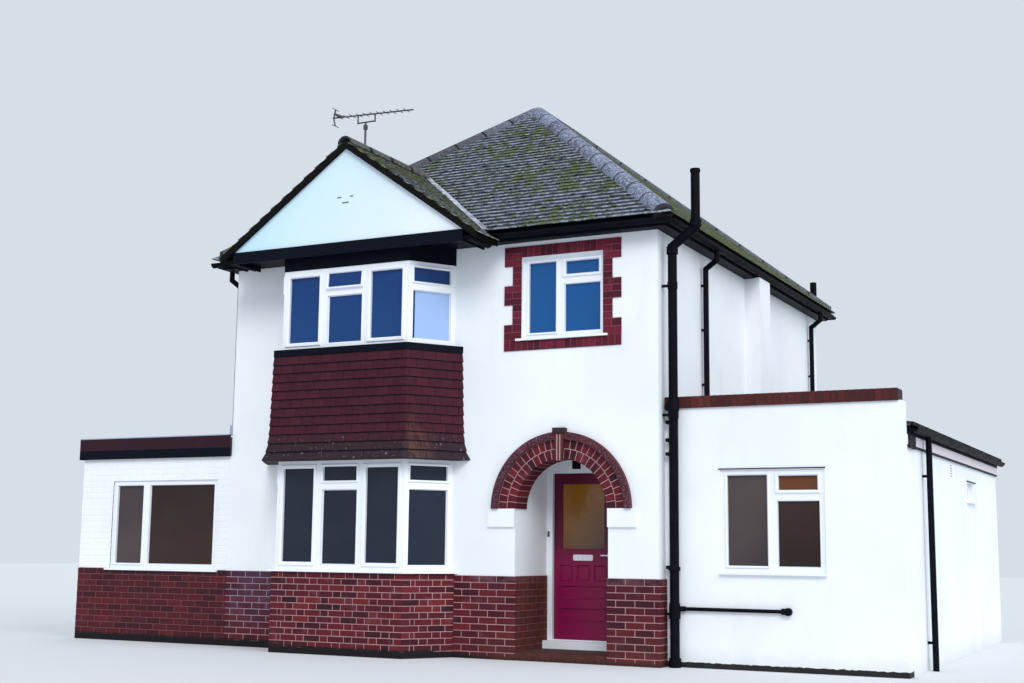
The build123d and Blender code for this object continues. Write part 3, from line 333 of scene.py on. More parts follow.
def paintFinish(name, colour, worn, wear=0.35, shine=0.5):
    # gloss-painted timber: faint grain, brush marks and scuffs
    f = Finish(name)
    grain = f.noise(9, 4, stretch=(1, 12, 12))
    scuff = f.noise(5, 5, 0.7).spread(0.58, 0.76)
    base = f.coats(colour, (scuff * wear, worn), (grain.spread(0.35, 0.7) * 0.15, worn))
    return f.surface(base, scuff.spread(0, 1, 0.5, 0.8), grain, 0.001, 0.4, shine)


def doorFinish():
    # darker above, where the arch keeps the light off
    f = Finish("maroon_gloss_door")
    grain = f.noise(9, 4, stretch=(12, 12, 1))
    base = f.mix(grain.spread(0.35, 0.7) * 0.3, (126, 6, 66), (96, 8, 50))
    base = f.mix(f.z.spread(1.1, 1.35) * 0.65, base, (60, 6, 26))
    return f.surface(base, grain.spread(0.3, 0.7, 0.3, 0.42), grain, 0.001, 0.4, 0.3)


def plasticFinish(name, colour, soiled, roughness=0.3, dirt=0.12, shine=0.5):
    f = Finish(name)
    cloud = f.noise(6, 4, 0.6).spread(0.45, 0.75)
    base = f.mix(cloud * dirt, colour, soiled)
    roughness = cloud.spread(0, 1, roughness, roughness + 0.2)
    return f.surface(base, roughness, f.noise(160, 2), 0.0004, 0.3, shine)


panes = {
    "upstairs": 3,
    "skyFades": (4.2, 5.0),
    "overPorch": 1.1,
    "wings": (-2.9, 2.9),
    "leftGrey": -4.4,
    "rightGrey": (3.5, 4.15),
    "warmLight": ((4.1, 9), (-3.3, -3), (1.9, 2.2)),
    "obscured": ((0.03, 0.5), (-4.1, -3.4), (3.6, 4.38)),
}


def glassFinish():
    # each window's colour is a painted reflection over the dark room behind it: blue upstairs, dark
    # downstairs, brown and grey in the wings
    f = Finish("window_glass")
    cloud = f.noise(0.9, 3, stretch=(1, 1, 1.4))
    blue = f.mix((f.z + cloud * 0.6).spread(*panes["skyFades"], 1, 0), (24, 58, 114), (26, 66, 120))
    blue = f.mix(f.x > panes["overPorch"], blue, f.mix(cloud, (24, 84, 150), (32, 88, 140)))
    base = f.mix(f.z > panes["upstairs"], f.mix(cloud, (26, 32, 46), (44, 50, 64)), blue)
    greyed = (f.x < panes["leftGrey"]) + f.x.within(*panes["rightGrey"])
    brown = f.mix(greyed, f.mix(cloud, (34, 22, 22), (66, 50, 46)), f.mix(cloud, (52, 44, 54), (90, 80, 76)))
    left, right = panes["wings"]
    obscured = f.zone(*panes["obscured"])
    # the warm light at the head of the right wing's window is painted too
    base = f.coats(base, ((f.x < left) + (f.x > right), brown), (f.zone(*panes["warmLight"]), (104, 62, 40)),
                   (obscured, (160, 188, 232)))
    return f.surface(base, obscured.spread(0, 1, 0.05, 0.45), f.noise(1.7, 1), 0.02, 0.12, 0.2, alpha=0.95)


def amberGlassFinish():
    f = Finish("amber_door_glass")
    ripple = f.noise(26, 2)
    glow = (f.z - f.x * 0.5).spread(0.35, 1.1)
    base = f.mix(glow, (82, 60, 50), (158, 104, 26))
    base = f.mix(ripple.spread(0.3, 0.7) * 0.3, base, (104, 66, 46))
    return f.surface(base, 0.12, ripple, 0.004, 0.5, alpha=0.97)


def metalFinish(name, colour, roughness, metallic):
    f = Finish(name)
    spot = f.noise(40, 4, 0.7).spread(0.45, 0.75)
    base = f.mix(spot * 0.4, colour, [c * 0.6 for c in colour])
    return f.surface(base, spot.spread(0, 1, roughness, roughness + 0.25), metallic=metallic)


def groundFinish(name, colour, second, scale=12, shine=0.5):
    f = Finish(name)
    grain = f.noise(scale, 5, 0.65)
    base = f.mix(grain.spread(0.3, 0.7), colour, second)
    return f.surface(base, 0.9, grain, 0.003, 0.5, shine)


def feltFinish(openEdge=5.57):
    # dark towards the open edge of the right wing's roof
    f = Finish("roof_felt")
    grain = f.noise(30, 5, 0.65)
    base = f.mix(grain.spread(0.3, 0.7), (84, 85, 88), (34, 34, 38))
    base = f.mix(f.x > openEdge, base, f.mix(grain.spread(0.5, 0.62), (16, 15, 19), (84, 82, 84)))
    return f.surface(base, 0.9, grain, 0.004, 0.6, 0.1)


def keystoneFinish():
    # brick between two pale upright slips, under a dark cap
    leftSlip, rightSlip, capFoot = (1.742, 1.754), (1.779, 1.791), 2.566
    f = Finish("keystone_tile")
    grain = f.noise(40, 4, 0.65)
    base = f.coats(f.mix(grain, (96, 34, 42), (66, 24, 32)),
                   (f.x.within(*leftSlip) + f.x.within(*rightSlip),
                    f.mix(grain, (196, 168, 160), (150, 118, 116))),
                   (f.z > capFoot, f.mix(grain, (58, 28, 32), (34, 18, 24))))
    return f.surface(base, 0.85, grain, 0.003, 0.6)


def boardFloorFinish():
    f = Finish("floor_boards")
    grain = f.noise(14, 4, stretch=(14, 1, 1))
    seam = f.add("TexWave", {"bands_direction": "X"}, {"Vector": f.place, "Scale": 2.2})
    base = f.coats((150, 116, 80), (grain.spread(0.3, 0.7), (116, 84, 54)),
                   (seam.spread(0.02, 0.06, 1, 0), (58, 40, 28)))
    return f.surface(base, 0.6, grain, 0.001, 0.4)


redBrick = [(0, (46, 12, 24)), (0.3, (80, 17, 31)), (0.7, (95, 22, 34)), (0.9, (108, 30, 34)),
            (1, (68, 20, 38))]
surroundBrick = [(0, (70, 14, 32)), (0.5, (96, 20, 42)), (1, (112, 28, 50))]
orangeBrick = [(0, (64, 25, 25)), (0.5, (76, 29, 28)), (1, (90, 36, 32))]

finishes = {
    "floor_concrete": groundFinish("floor_concrete", (150, 148, 142), (122, 120, 116)),
    "floor_timber": boardFloorFinish(),
    "white_plaster": groundFinish("room_plaster", (226, 224, 216), (212, 210, 202), 5),
    "white_render": renderFinish("white_render"),
    "red_brick": mortarFinish("brick_mortar", wing=True),
    "orange_brick": mortarFinish("coping_mortar", (112, 84, 84), (88, 64, 66)),
    "pale_tile": keystoneFinish(),
    "hung_tile": mortarFinish("tile_battening", (40, 20, 28), (30, 14, 22)),
    "roof_tile": groundFinish("roof_underlay", (20, 19, 18), (10, 11, 12), 20, 0.1),
    "pale_board": paintFinish("pale_frieze_board", (232, 220, 227), (150, 132, 142)),
    "roof_felt": feltFinish(),
    "white_plastic": plasticFinish("white_window_plastic", (236, 240, 246), (196, 202, 210)),
    "black_plastic": plasticFinish("black_rain_plastic", (8, 9, 17), (34, 38, 52), 0.55, 0.25, 0.06),
    "black_board": paintFinish("black_gloss_board", (7, 11, 22), (36, 44, 62), 0.12, 0.06),
    "brown_board": paintFinish("brown_fascia_board", (42, 17, 30), (72, 42, 52), shine=0.15),
    "window_glass": glassFinish(),
    "amber_glass": amberGlassFinish(),
    "maroon_door": doorFinish(),
    "steel": metalFinish("door_steel", (226, 228, 234), 0.4, 0.25),
    "aerial_metal": metalFinish("weathered_aerial", (86, 88, 94), 0.5, 0.6),
}
for node in nodes.values():
    slots = node.data.materials
    for number, material in enumerate(slots):
        slots[number] = finishes[material.name.split(".")[0]]
mortars = {"arch_hood": (84, 40, 46), "right_coping": (40, 24, 27), "window_surround": (126, 62, 76)}
for name, colour in mortars.items():
    nodes[name].data.materials[0] = mortarFinish(name + "_mortar", colour, [c * 0.8 for c in colour])
nodes["right_front_wall"].data.materials[0] = renderFinish("white_render_black_foot", walls["rightFoot"])

brickFace = brickFinish("red_brick_face", redBrick, patch=True)
surroundFace = brickFinish("surround_brick_face", surroundBrick)
stepFace = brickFinish("step_brick_face", [(0, (48, 26, 28)), (1, (76, 40, 38))])
hoodFace = brickFinish("hood_brick_face", [(0, (64, 22, 34)), (1, (84, 28, 38))], speckle=0.55)
copingFace = brickFinish("orange_brick_face", orangeBrick)
slopeTile = roofTileFinish("weathered_roof_tile", 0)
mossyTile = roofTileFinish("mossy_roof_tile", 0.08, (0.6, 2.8, 0.6), (64, 72, 40), (128, 134, 84))
rightTile = roofTileFinish("right_slope_tile", 0.12, (0.6, 2.8, 0.6), (70, 82, 34), (146, 152, 90))
valleyFinish = groundFinish("valley_mortar", (206, 212, 226), (50, 52, 58), 9)
hipMortar = mortarFinish("hip_mortar", (40, 36, 38), (26, 24, 28))
ventFinish = plasticFinish("vent_grille", (84, 104, 112), (120, 138, 146))
flatRoofLead = metalFinish("flat_roof_lead", (168, 178, 196), 0.5, 0.3)
print("finishes ready")


# Mesh helpers

near = 0.001        # places closer than this count as the same, in metres
roundSides = 24     # of a small round piece


def frameOf(origin, along, outward):
    # a place whose x runs along a face, y runs up it and z points out of it
    along = Vector(along).normalized()
    outward = Vector(outward).normalized()
    turn = Matrix((along, outward.cross(along), outward)).transposed().to_4x4()
    return Matrix.Translation(origin) @ turn


def bevelled(bm, edges, width, segments=1):
    bmesh.ops.bevel(bm, geom=edges, offset=width, affect="EDGES", segments=segments, profile=0.5, material=-1)


def edgesWhere(bm, passes):
    # the edges whose two ends both pass a test of their place
    return [e for e in bm.edges if all(passes(v.co) for v in e.verts)]


def slab(low, high, edge=0):
    # a block between two corners, with its outward (z) edges eased
    bm = bmesh.new()
    size = Vector(high) - Vector(low)
    middle = (Vector(high) + Vector(low)) / 2
    bmesh.ops.create_cube(bm, size=1, matrix=Matrix.Translation(middle) @ Matrix.Diagonal((*size, 1)))
    if edge:
        bevelled(bm, edgesWhere(bm, lambda spot: spot.z > middle.z), edge)
    return bm


def block(low, high, edge):
    # a block between two corners, with all its edges eased
    bm = slab(low, high)
    bevelled(bm, bm.edges[:], edge)
    return bm


def rod(place, radius, length, segments):
    bm = bmesh.new()
    bmesh.ops.create_cone(bm, cap_ends=True, segments=segments, radius1=radius, radius2=radius, depth=length,
                          matrix=place)
    return bm


def extruded(bm, way):
    # carries all the faces of a sheet along a way, into a closed body
    grown = bmesh.ops.extrude_face_region(bm, geom=bm.faces[:])
    moved = [g for g in grown["geom"] if isinstance(g, bmesh.types.BMVert)]
    bmesh.ops.translate(bm, verts=moved, vec=way)
    bmesh.ops.recalc_face_normals(bm, faces=bm.faces[:])


def spreadOut(unit, places):
    # many copies of one small shape, joined in one mesh, each with its own tone
    unit.verts.index_update()
    points = np.array([v.co for v in unit.verts])
    corners = [[v.index for v in face.verts] for face in unit.faces]
    turns = np.array([place.to_3x3() for place in places])
    moves = np.array([place.translation for place in places])
    spots = np.einsum("nij,kj->nki", turns, points) + moves[:, None, :]
    mesh = bpy.data.meshes.new("spread")
    mesh.from_pydata(spots.reshape(-1, 3), [], [[k + n * len(points) for k in face]
                                                for n in range(len(places)) for face in corners])
    rises = points[:, 1] - points[:, 1].min()
    facts = {"tone": np.repeat([chance.random() for place in places], len(points)),
             "fall": np.tile(1 - rises / rises.max(), len(places))}
    for name, values in facts.items():
        mesh.attributes.new(name, "FLOAT", "POINT")
        mesh.attributes[name].data.foreach_set("value", values.astype(np.float32))
    bm = bmesh.new()
    bm.from_mesh(mesh)
    bpy.data.meshes.remove(mesh)
    unit.free()
    return bm


def trim(bm, point, outward):
    # cuts off what lies outside a plane and closes the cuts
    everything = bm.verts[:] + bm.edges[:] + bm.faces[:]
    cut = bmesh.ops.bisect_plane(bm, geom=everything, plane_co=point, plane_no=outward, clear_outer=True)
    rim = [e for e in cut["geom_cut"] if isinstance(e, bmesh.types.BMEdge)]
    bmesh.ops.holes_fill(bm, edges=rim, sides=0)


def gather(parts):
    # joins several bmeshes in one
    whole = bmesh.new()
    for part in parts:
        mesh = bpy.data.meshes.new("part")
        part.to_mesh(mesh)
        whole.from_mesh(mesh)
        bpy.data.meshes.remove(mesh)
        part.free()
    return whole


def asObject(name, bm, material):
    mesh = bpy.data.meshes.new(name)
    bm.to_mesh(mesh)
    bm.free()
    mesh.materials.append(material)
    thing = bpy.data.objects.new(name, mesh)
    bpy.context.scene.collection.objects.link(thing)
    return thing


def finishPiece(name, bm, slot, material=None, body="house"):
    # a piece of the house in the finish of its slot, or in one of its own
    piece = asObject(name, bm, material or finishes[slot])
    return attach(piece, body)


# Brickwork

bricks = {
    "length": 0.219,
    "header": 0.104,
    "closer": 0.0475,
    "shortest": 0.045,
    "least": 0.005,
    "height": 0.067,
    "joint": 0.009,
    "gauge": 0.078,
    "proud": 0.003,
    "bed": 0.012,
    "eased": 0.003,
    "easedShare": 0.015,
}
joint = bricks["joint"]


def courseLengths(length, row, flemish):
    # the brick lengths of one course, cut at its far end
    lengths = []
    left = length
    turn = row % 2
    while left > bricks["least"]:
        if flemish and row % 2 and len(lengths) == 1:
            unit = bricks["closer"]
        elif flemish:
            unit = bricks["header"] if turn else bricks["length"]
            turn = 1 - turn
        else:
            unit = bricks["header"] if turn and not lengths else bricks["length"]
        unit = min(unit, left)
        if left - unit - joint < bricks["shortest"]:
            unit = left
        lengths.append(unit)
        left -= unit + joint
    return lengths


def brickPlaces(start, end, low, high, row=0, flemish=False):
    # where each brick of a straight run of wall goes, as a stretched copy of a brick of unit length
    start = Vector((*start, 0))
    reach = Vector((*end, 0)) - start
    along = reach.normalized()
    courses = round((high - low) / (bricks["height"] + joint))
    gauge = (high - low) / courses
    places = []
    for course in range(courses):
        run = 0
        for length in courseLengths(reach.length, course + row, flemish):
            spot = start + along * run + up * (low + gauge * course + joint / 2)
            size = Matrix.Diagonal((length, (gauge - joint) / bricks["height"], 1, 1))
            places.append(frameOf(spot, along, along.cross(up)) @ size)
            run += length + joint
    return places


def onEdgePlaces(startX, endX, face, low, high):
    # bricks on end side by side, each face as wide as a brick is high
    count = round((endX - startX) / bricks["gauge"])
    pitch = (endX - startX) / count
    size = Matrix.Diagonal((pitch - joint, (high - low) / bricks["height"], 1, 1))
    return [frameOf((startX + pitch * n + joint / 2, face, low), (1, 0, 0), (0, -1, 0)) @ size
            for n in range(count)]


def brickUnit():
    bm = slab((0, 0, -bricks["bed"]), (1, bricks["height"], bricks["proud"]), bricks["eased"])
    share = bricks["easedShare"]
    for vert in bm.verts:   # the bevel keeps its width when a brick is stretched
        if 0 < vert.co.x < 1 and vert.co.z > 0:
            vert.co.x = share if vert.co.x < 0.5 else 1 - share
    return bm


def outlineOf(node):
    # the plan corners of a canted node, from its left wall end round to its right wall end
    low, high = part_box(node)
    verts = [v.co for v in nodes[node].data.vertices]
    front = [v.x for v in verts if v.y < low.y + near]
    back = [v.x for v in verts if v.y > high.y - near]
    return [(min(back), high.y), (min(front), low.y), (max(front), low.y), (max(back), high.y)]


plinthLow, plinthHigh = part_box("brick_plinth")
stepLow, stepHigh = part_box("porch_floor")
bayPlan = outlineOf("bay_base")
faceY, plinthTop = plinthLow.y, plinthHigh.z
left = stepLow.x + stepLow.y - faceY
right = stepHigh.x - stepLow.y + faceY
runs = [
    [(plinthLow.x, faceY), (bayPlan[0][0], faceY)],
    [(bayPlan[3][0], faceY), (left, faceY), (left, plinthHigh.y)],
    [(right, plinthHigh.y), (right, faceY), (plinthHigh.x, faceY),
     (plinthHigh.x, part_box("right_front_wall")[0].y)],
    bayPlan,
]
places = []
for run in runs:
    atBay = run is bayPlan
    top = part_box("bay_base")[1].z if atBay else plinthTop
    for corner in range(len(run) - 1):
        places += brickPlaces(run[corner], run[corner + 1], 0, top, corner, atBay)
finishPiece("plinth_bricks", spreadOut(brickUnit(), places), "red_brick", brickFace)
print("plinth bricks", len(places))


# Arch over the porch

arch = {
    "inner": 0.570,
    "bricksInner": 25,
    "bricksOuter": 29,
    "hoodBricks": 15,
    "keystone": 0.08,    # the angle on each side of upright that the keystone covers
    "backGap": 0.002,
}
archLow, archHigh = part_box("arch_ring")
hoodLow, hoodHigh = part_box("arch_hood")
archMiddle = (archLow.x + archHigh.x) / 2


def voussoirs(inner, outer, count, face, depth=0, skip=0):
    # tapered bricks round a half circle, on a face at the place given, carried through the wall by a depth
    step = pi / count
    foot = inner + (-bricks["proud"] if depth else joint / 2)
    unit = slab((-0.5, 0, 0), (0.5, 1, 1))
    for vert in unit.verts:
        radius = outer - joint / 2 if vert.co.y > 0.5 else foot
        reach = -bricks["proud"] if vert.co.z > 0.5 else max(depth, bricks["bed"])
        vert.co = Vector((vert.co.x * (step * radius - joint), reach, radius))
    bmesh.ops.recalc_face_normals(unit, faces=unit.faces[:])
    bevelled(unit, edgesWhere(unit, lambda spot: spot.y < 0), bricks["eased"])
    turns = [pi / 2 - step * (number + 0.5) for number in range(count)]
    centre = Matrix.Translation((archMiddle, face, archLow.z))
    return spreadOut(unit, [centre @ Matrix.Rotation(turn, 4, "Y") for turn in turns if abs(turn) >= skip])


ringReach = archHigh.x - archMiddle
middleRing = (arch["inner"] + ringReach) / 2
depth = archHigh.y - archLow.y - arch["backGap"]
parts = [voussoirs(arch["inner"], middleRing, arch["bricksInner"], archLow.y, depth),
         voussoirs(middleRing, ringReach, arch["bricksOuter"], archLow.y)]
finishPiece("arch_bricks", gather(parts), "red_brick", brickFace)
hood = voussoirs(ringReach, hoodHigh.x - archMiddle, arch["hoodBricks"], hoodLow.y, skip=arch["keystone"])
finishPiece("hood_bricks", hood, "red_brick", hoodFace)
print("arch bricks")


# Brick surround of the small window over the porch, toothed into the render

surround = {
    "left": 1.243,
    "right": 2.293,
    "top": 4.82,
    "head": 4.688,
    "foot": 3.697,
    "tooth": 0.234,
    "narrow": 0.115,
    "endRow": 0.127,
}
surroundLow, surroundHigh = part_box("window_surround")
face = surroundLow.y
places = []
for tooth in range(ceil((surround["top"] - surround["foot"]) / surround["tooth"])):
    high = surround["top"] - surround["tooth"] * tooth
    low = max(high - surround["tooth"], surround["foot"])
    courses = round((high - low) / bricks["gauge"])
    gauge = (high - low) / courses
    reach = surround["narrow"] if tooth % 2 else surround["left"] - surroundLow.x
    for course in range(courses):
        foot = low + gauge * course
        for start in (surround["left"] - reach, surround["right"]):
            places += brickPlaces((start, face), (start + reach, face), foot, foot + gauge, course)
places += onEdgePlaces(surround["left"], surround["right"], face, surround["head"], surroundHigh.z)
places += onEdgePlaces(surroundLow.x, surroundHigh.x, face, surroundLow.z, surroundLow.z + surround["endRow"])
finishPiece("surround_bricks", spreadOut(brickUnit(), places), "red_brick", surroundFace)


# Bricks on edge at the front of the porch step and along the right wing's coping

onEdge = {"pitch": 0.0775, "proud": 0.003, "eased": 0.004, "stepDeep": 0.22, "stepFoot": 0.002}


def onEdgeRow(low, high, shape, foot, back):
    # blocks from one end of a box to the other, each made between two corners by the shape given
    count = round((high.x - low.x) / onEdge["pitch"])
    pitch = (high.x - low.x) / count
    top = high.z - low.z + onEdge["proud"]
    unit = shape((0, -onEdge["proud"], foot), (pitch - joint, back, top), onEdge["eased"])
    return spreadOut(unit, [Matrix.Translation((low.x + pitch * n + joint / 2, low.y, low.z))
                            for n in range(count)])


stepRow = onEdgeRow(stepLow, stepHigh, block, onEdge["stepFoot"], onEdge["stepDeep"])
finishPiece("step_bricks", stepRow, "red_brick", stepFace)
low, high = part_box("right_coping")
copingRow = onEdgeRow(low, high, slab, -onEdge["proud"], high.y - low.y + onEdge["proud"])
finishPiece("coping_bricks", copingRow, "orange_brick", copingFace)
print("surround, step and coping")


# Painted brickwork of the left wing

leftWindow = {"left": -4.95, "right": -3.17, "low": 0.925, "high": 2.12}
leftLow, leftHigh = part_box("left_front_wall")
courses = round((leftHigh.z - plinthTop) / bricks["gauge"])
gauge = (leftHigh.z - plinthTop) / courses
places = []
for course in range(courses):
    low = plinthTop + gauge * course
    spans = [(leftLow.x, leftHigh.x)]
    if leftWindow["low"] < low + gauge / 2 < leftWindow["high"]:
        spans = [(leftLow.x, leftWindow["left"]), (leftWindow["right"], leftHigh.x)]
    for first, last in spans:
        places += brickPlaces((first, leftLow.y), (last, leftLow.y), low, low + gauge, course)
finishPiece("painted_bricks", spreadOut(brickUnit(), places), "white_render")
print("painted bricks", len(places))


# Roof tiles

tiles = {
    "gauge": 0.1,
    "width": 0.165,
    "gap": 0.004,
    "lap": 0.035,
    "thickness": 0.011,
    "tailRise": 0.017,
    "headRise": 0.001,
    "camber": 0.0022,
    "overhang": 0.06,
    "vergeBack": 0.05,
    "hipLap": 0.1,
    "valleyLap": 0.09,
    "twist": 0.008,
    "tip": 0.012,
    "lift": 0.003,
    "pitch": 38.5,
}
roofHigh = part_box("main_roof")[1]
mainPitch = radians(tiles["pitch"])
edgeHeight = roofHigh.z - roofHigh.x * tan(mainPitch)
gableLow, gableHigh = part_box("gable_roof")
wallLow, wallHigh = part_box("gable_wall")
gableMiddle = (gableLow.x + gableHigh.x) / 2
gableSlope = 2 * (wallHigh.z - wallLow.z) / (wallHigh.x - wallLow.x)
gablePitch = atan2(gableSlope, 1)


def tileUnit(gauge):
    # one plain tile from its tail (y = 0) up the slope, its tail riding on the course below
    reach = gauge + tiles["lap"]
    half = (tiles["width"] - tiles["gap"]) / 2
    bm = slab((-half, 0, -tiles["thickness"]), (half, reach, 0))
    across = [e for e in bm.edges if abs(e.verts[0].co.x - e.verts[1].co.x) > half]
    bmesh.ops.subdivide_edges(bm, edges=across, cuts=1)
    for vert in bm.verts:
        vert.co.z += tiles["headRise"] + (tiles["tailRise"] - tiles["headRise"]) * (1 - vert.co.y / reach)
        if abs(vert.co.x) < near:
            vert.co.z += tiles["camber"]
    return bm


def valleyAt(x):
    # how far back the gable roof reaches at a place across it
    return gableHigh.y - abs(x - gableMiddle) * gableSlope / tan(mainPitch)


def slopeTiles(corner, along, outward, pitch, length, spanAt, keep):
    # the tiles of one slope. spanAt gives the first and last run of a course
    rising = -outward * cos(pitch) + up * sin(pitch)
    facing = outward * sin(pitch) + up * cos(pitch)
    width = tiles["width"]
    places = []
    for row in range(int(length / tiles["gauge"]) + 1):
        climb = row * tiles["gauge"] - tiles["overhang"]
        first, last = spanAt(max(climb, 0))
        start = round(first / width) * width + (width / 2 if row % 2 else 0)
        for number in range(ceil((last - first) / width) + 1):
            spot = corner + along * (start + width * (number - 0.5)) + rising * climb
            if keep(spot + rising * tiles["gauge"] / 2):
                twist = Matrix.Rotation(chance.gauss(0, tiles["twist"]), 4, "Z")
                twist = twist @ Matrix.Rotation(chance.gauss(0, tiles["tip"]), 4, "Y")
                lift = facing * chance.uniform(0, tiles["lift"])
                places.append(frameOf(spot + lift, along, facing) @ twist)
    return spreadOut(tileUnit(tiles["gauge"]), places)


parts = []
for side in ((0, -1, 0), (1, 0, 0), (0, 1, 0), (-1, 0, 0)):
    outward = Vector(side)
    along = up.cross(outward)
    out, half = (roofHigh.x, roofHigh.y) if outward.x else (roofHigh.y, roofHigh.x)
    corner = outward * out - along * half + up * edgeHeight
    slant, lap = cos(mainPitch), tiles["hipLap"]
    field = slopeTiles(corner, along, outward, mainPitch, roofHigh.x / slant,
                       lambda climb: (climb * slant - lap, 2 * half - climb * slant + lap),
                       lambda spot: spot.y > valleyAt(spot.x) - tiles["valleyLap"])
    trim(field, corner, (-along - outward).normalized())
    trim(field, corner + along * half * 2, (along - outward).normalized())
    if outward.x > 0:
        finishPiece("right_slope_tiles", field, "roof_tile", rightTile)
    else:
        parts.append(field)
finishPiece("main_roof_tiles", gather(parts), "roof_tile", slopeTile)

parts = []
for side in (-1, 1):
    outward = Vector((side, 0, 0))
    half = (gableHigh.x - gableLow.x) / 2
    verge = gableLow.y if side > 0 else gableHigh.y
    corner = Vector((gableMiddle + side * half, verge, gableHigh.z - half * gableSlope))
    front, lap = gableLow.y + tiles["vergeBack"], tiles["valleyLap"]
    field = slopeTiles(corner, up.cross(outward), outward, gablePitch, half / cos(gablePitch),
                       lambda climb: (0, gableHigh.y - gableLow.y),
                       lambda spot: front < spot.y < valleyAt(spot.x) + lap)
    trim(field, Vector((0, gableLow.y, 0)), (0, -1, 0))
    trim(field, Vector((gableMiddle, 0, 0)), (-side, 0, 0))
    parts.append(field)
finishPiece("gable_roof_tiles", gather(parts), "roof_tile", mossyTile)
print("roof tiles")


# Mortar down the two valleys beside the gable roof, with a dark strip of painted shadow along it

valley = {"width": 0.08, "thickness": 0.008, "raised": 0.036, "waves": 26, "wave": 0.006, "longer": 0.12,
          "shadow": 0.022}
mortarParts = []
shadowParts = []
for side in (-1, 1):
    top = Vector((gableMiddle, gableHigh.y, gableHigh.z))
    reach = (gableHigh.z - edgeHeight) / gableSlope
    way = Vector((gableMiddle + side * reach, -roofHigh.y, edgeHeight)) - top
    facing = way.cross(up.cross(way)).normalized()
    inner = side * valley["width"] / 2
    outer = inner + side * valley["shadow"]
    length = way.length + valley["longer"]
    for parts, low, high in ((mortarParts, -inner, inner), (shadowParts, inner, outer)):
        strip = slab((0, min(low, high), 0), (length, max(low, high), valley["thickness"]))
        bmesh.ops.subdivide_edges(strip, edges=[e for e in strip.edges if e.calc_length() > 1],
                                  cuts=valley["waves"])
        for vert in strip.verts:
            vert.co.y += chance.uniform(-valley["wave"], valley["wave"])
        strip.transform(frameOf(top + facing * valley["raised"], way, facing))
        parts.append(strip)
finishPiece("valley_mortar", gather(mortarParts), "roof_felt", valleyFinish)
finishPiece("valley_shadow_gap", gather(shadowParts), "roof_tile")


# Half-round hip and ridge tiles, and the mortar that closes the feet of the hips

rounds = {"radius": 0.13, "sunk": 0.09, "footBack": 0.07, "forward": 0.02, "length": 0.45, "gap": 0.008,
          "shell": 0.02, "arc": 14, "gableRadius": 0.1, "gableSunk": 0.035}
bedding = {"length": 0.12, "forward": 0.04, "eased": 0.012, "sides": 20}


def ridgeTiles(radius, places):
    # half pipes from y = 0, closed at their ends
    bm = bmesh.new()
    verts = [bm.verts.new((radius, 0, 0)), bm.verts.new((radius - rounds["shell"], 0, 0))]
    rib = bm.edges.new(verts)
    bmesh.ops.spin(bm, geom=verts + [rib], cent=(0, 0, 0), axis=(0, -1, 0), angle=pi, steps=rounds["arc"])
    extruded(bm, (0, rounds["length"] - rounds["gap"], 0))
    return spreadOut(bm, places)


def alongLine(start, end):
    # evenly spaced places from one end of a line to the other, y along it and z upright
    way = (end - start).normalized()
    count = round((end - start).length / rounds["length"])
    side = way.cross(up).normalized()
    turn = Matrix((side, way, side.cross(way))).transposed().to_4x4()
    return [Matrix.Translation(start + (end - start) / count * n) @ turn for n in range(count)]


ridgeHalf = roofHigh.y - roofHigh.x
back = rounds["footBack"]
footHeight = edgeHeight + back * tan(mainPitch) - rounds["sunk"]
ridgeHeight = roofHigh.z - rounds["sunk"]
places = []
feet = []
for across in (-1, 1):
    for side in (-1, 1):
        ahead = Vector((0, side * rounds["forward"], 0))
        foot = Vector((across * (roofHigh.x - back), side * (roofHigh.y - back), footHeight)) + ahead
        line = alongLine(foot, Vector((0, side * ridgeHalf, ridgeHeight)) + ahead)
        places += line
        feet.append(line[0])
places += alongLine(Vector((0, -ridgeHalf, ridgeHeight)), Vector((0, ridgeHalf, ridgeHeight)))
mainRidge = ridgeTiles(rounds["radius"], places)
start = Vector((gableMiddle, gableLow.y, gableHigh.z - rounds["gableSunk"]))
places = alongLine(start, Vector((gableMiddle, gableHigh.y, start.z)))
hipTiles = finishPiece("ridge_and_hip_tiles", gather([mainRidge, ridgeTiles(rounds["gableRadius"], places)]),
                       "roof_tile", ridgeTileFinish())
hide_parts("ridge_tiles")
plug = rod(Matrix.Translation((0, bedding["forward"], 0)) @ Matrix.Rotation(pi / 2, 4, "X"),
           rounds["radius"] - rounds["shell"], bedding["length"], bedding["sides"])
bevelled(plug, edgesWhere(plug, lambda spot: spot.y < 0), bedding["eased"], 2)
finishPiece("hip_foot_mortar", spreadOut(plug, feet), "roof_tile", hipMortar)
print("ridge tiles")


# Hung tiles of the bay's apron

apron = {"courses": 12, "top": 3.58, "foot": 2.29, "outTop": 0.045, "lean": 0.03, "kick": 0.07, "power": 10,
         "twist": 0.008}
apronHeight = apron["top"] - apron["foot"]
gauge = apronHeight / apron["courses"]


def pushedOut(plan, distance):
    # the bay's plan moved outwards, its corners mitred
    points = []
    for number, point in enumerate(plan):
        ways = []
        for first, last in ((number - 1, number), (number, number + 1)):
            if first >= 0 and last < len(plan):
                run = Vector((*plan[last], 0)) - Vector((*plan[first], 0))
                ways.append(run.normalized().cross(up))
        both = sum(ways, Vector()).normalized()
        points.append(Vector((*point, 0)) + both * distance / both.dot(ways[0]))
    return points


def apronPlan(height):
    fall = (apron["top"] - height) / apronHeight
    return pushedOut(bayPlan, apron["outTop"] + apron["lean"] * fall + apron["kick"] * fall ** apron["power"])


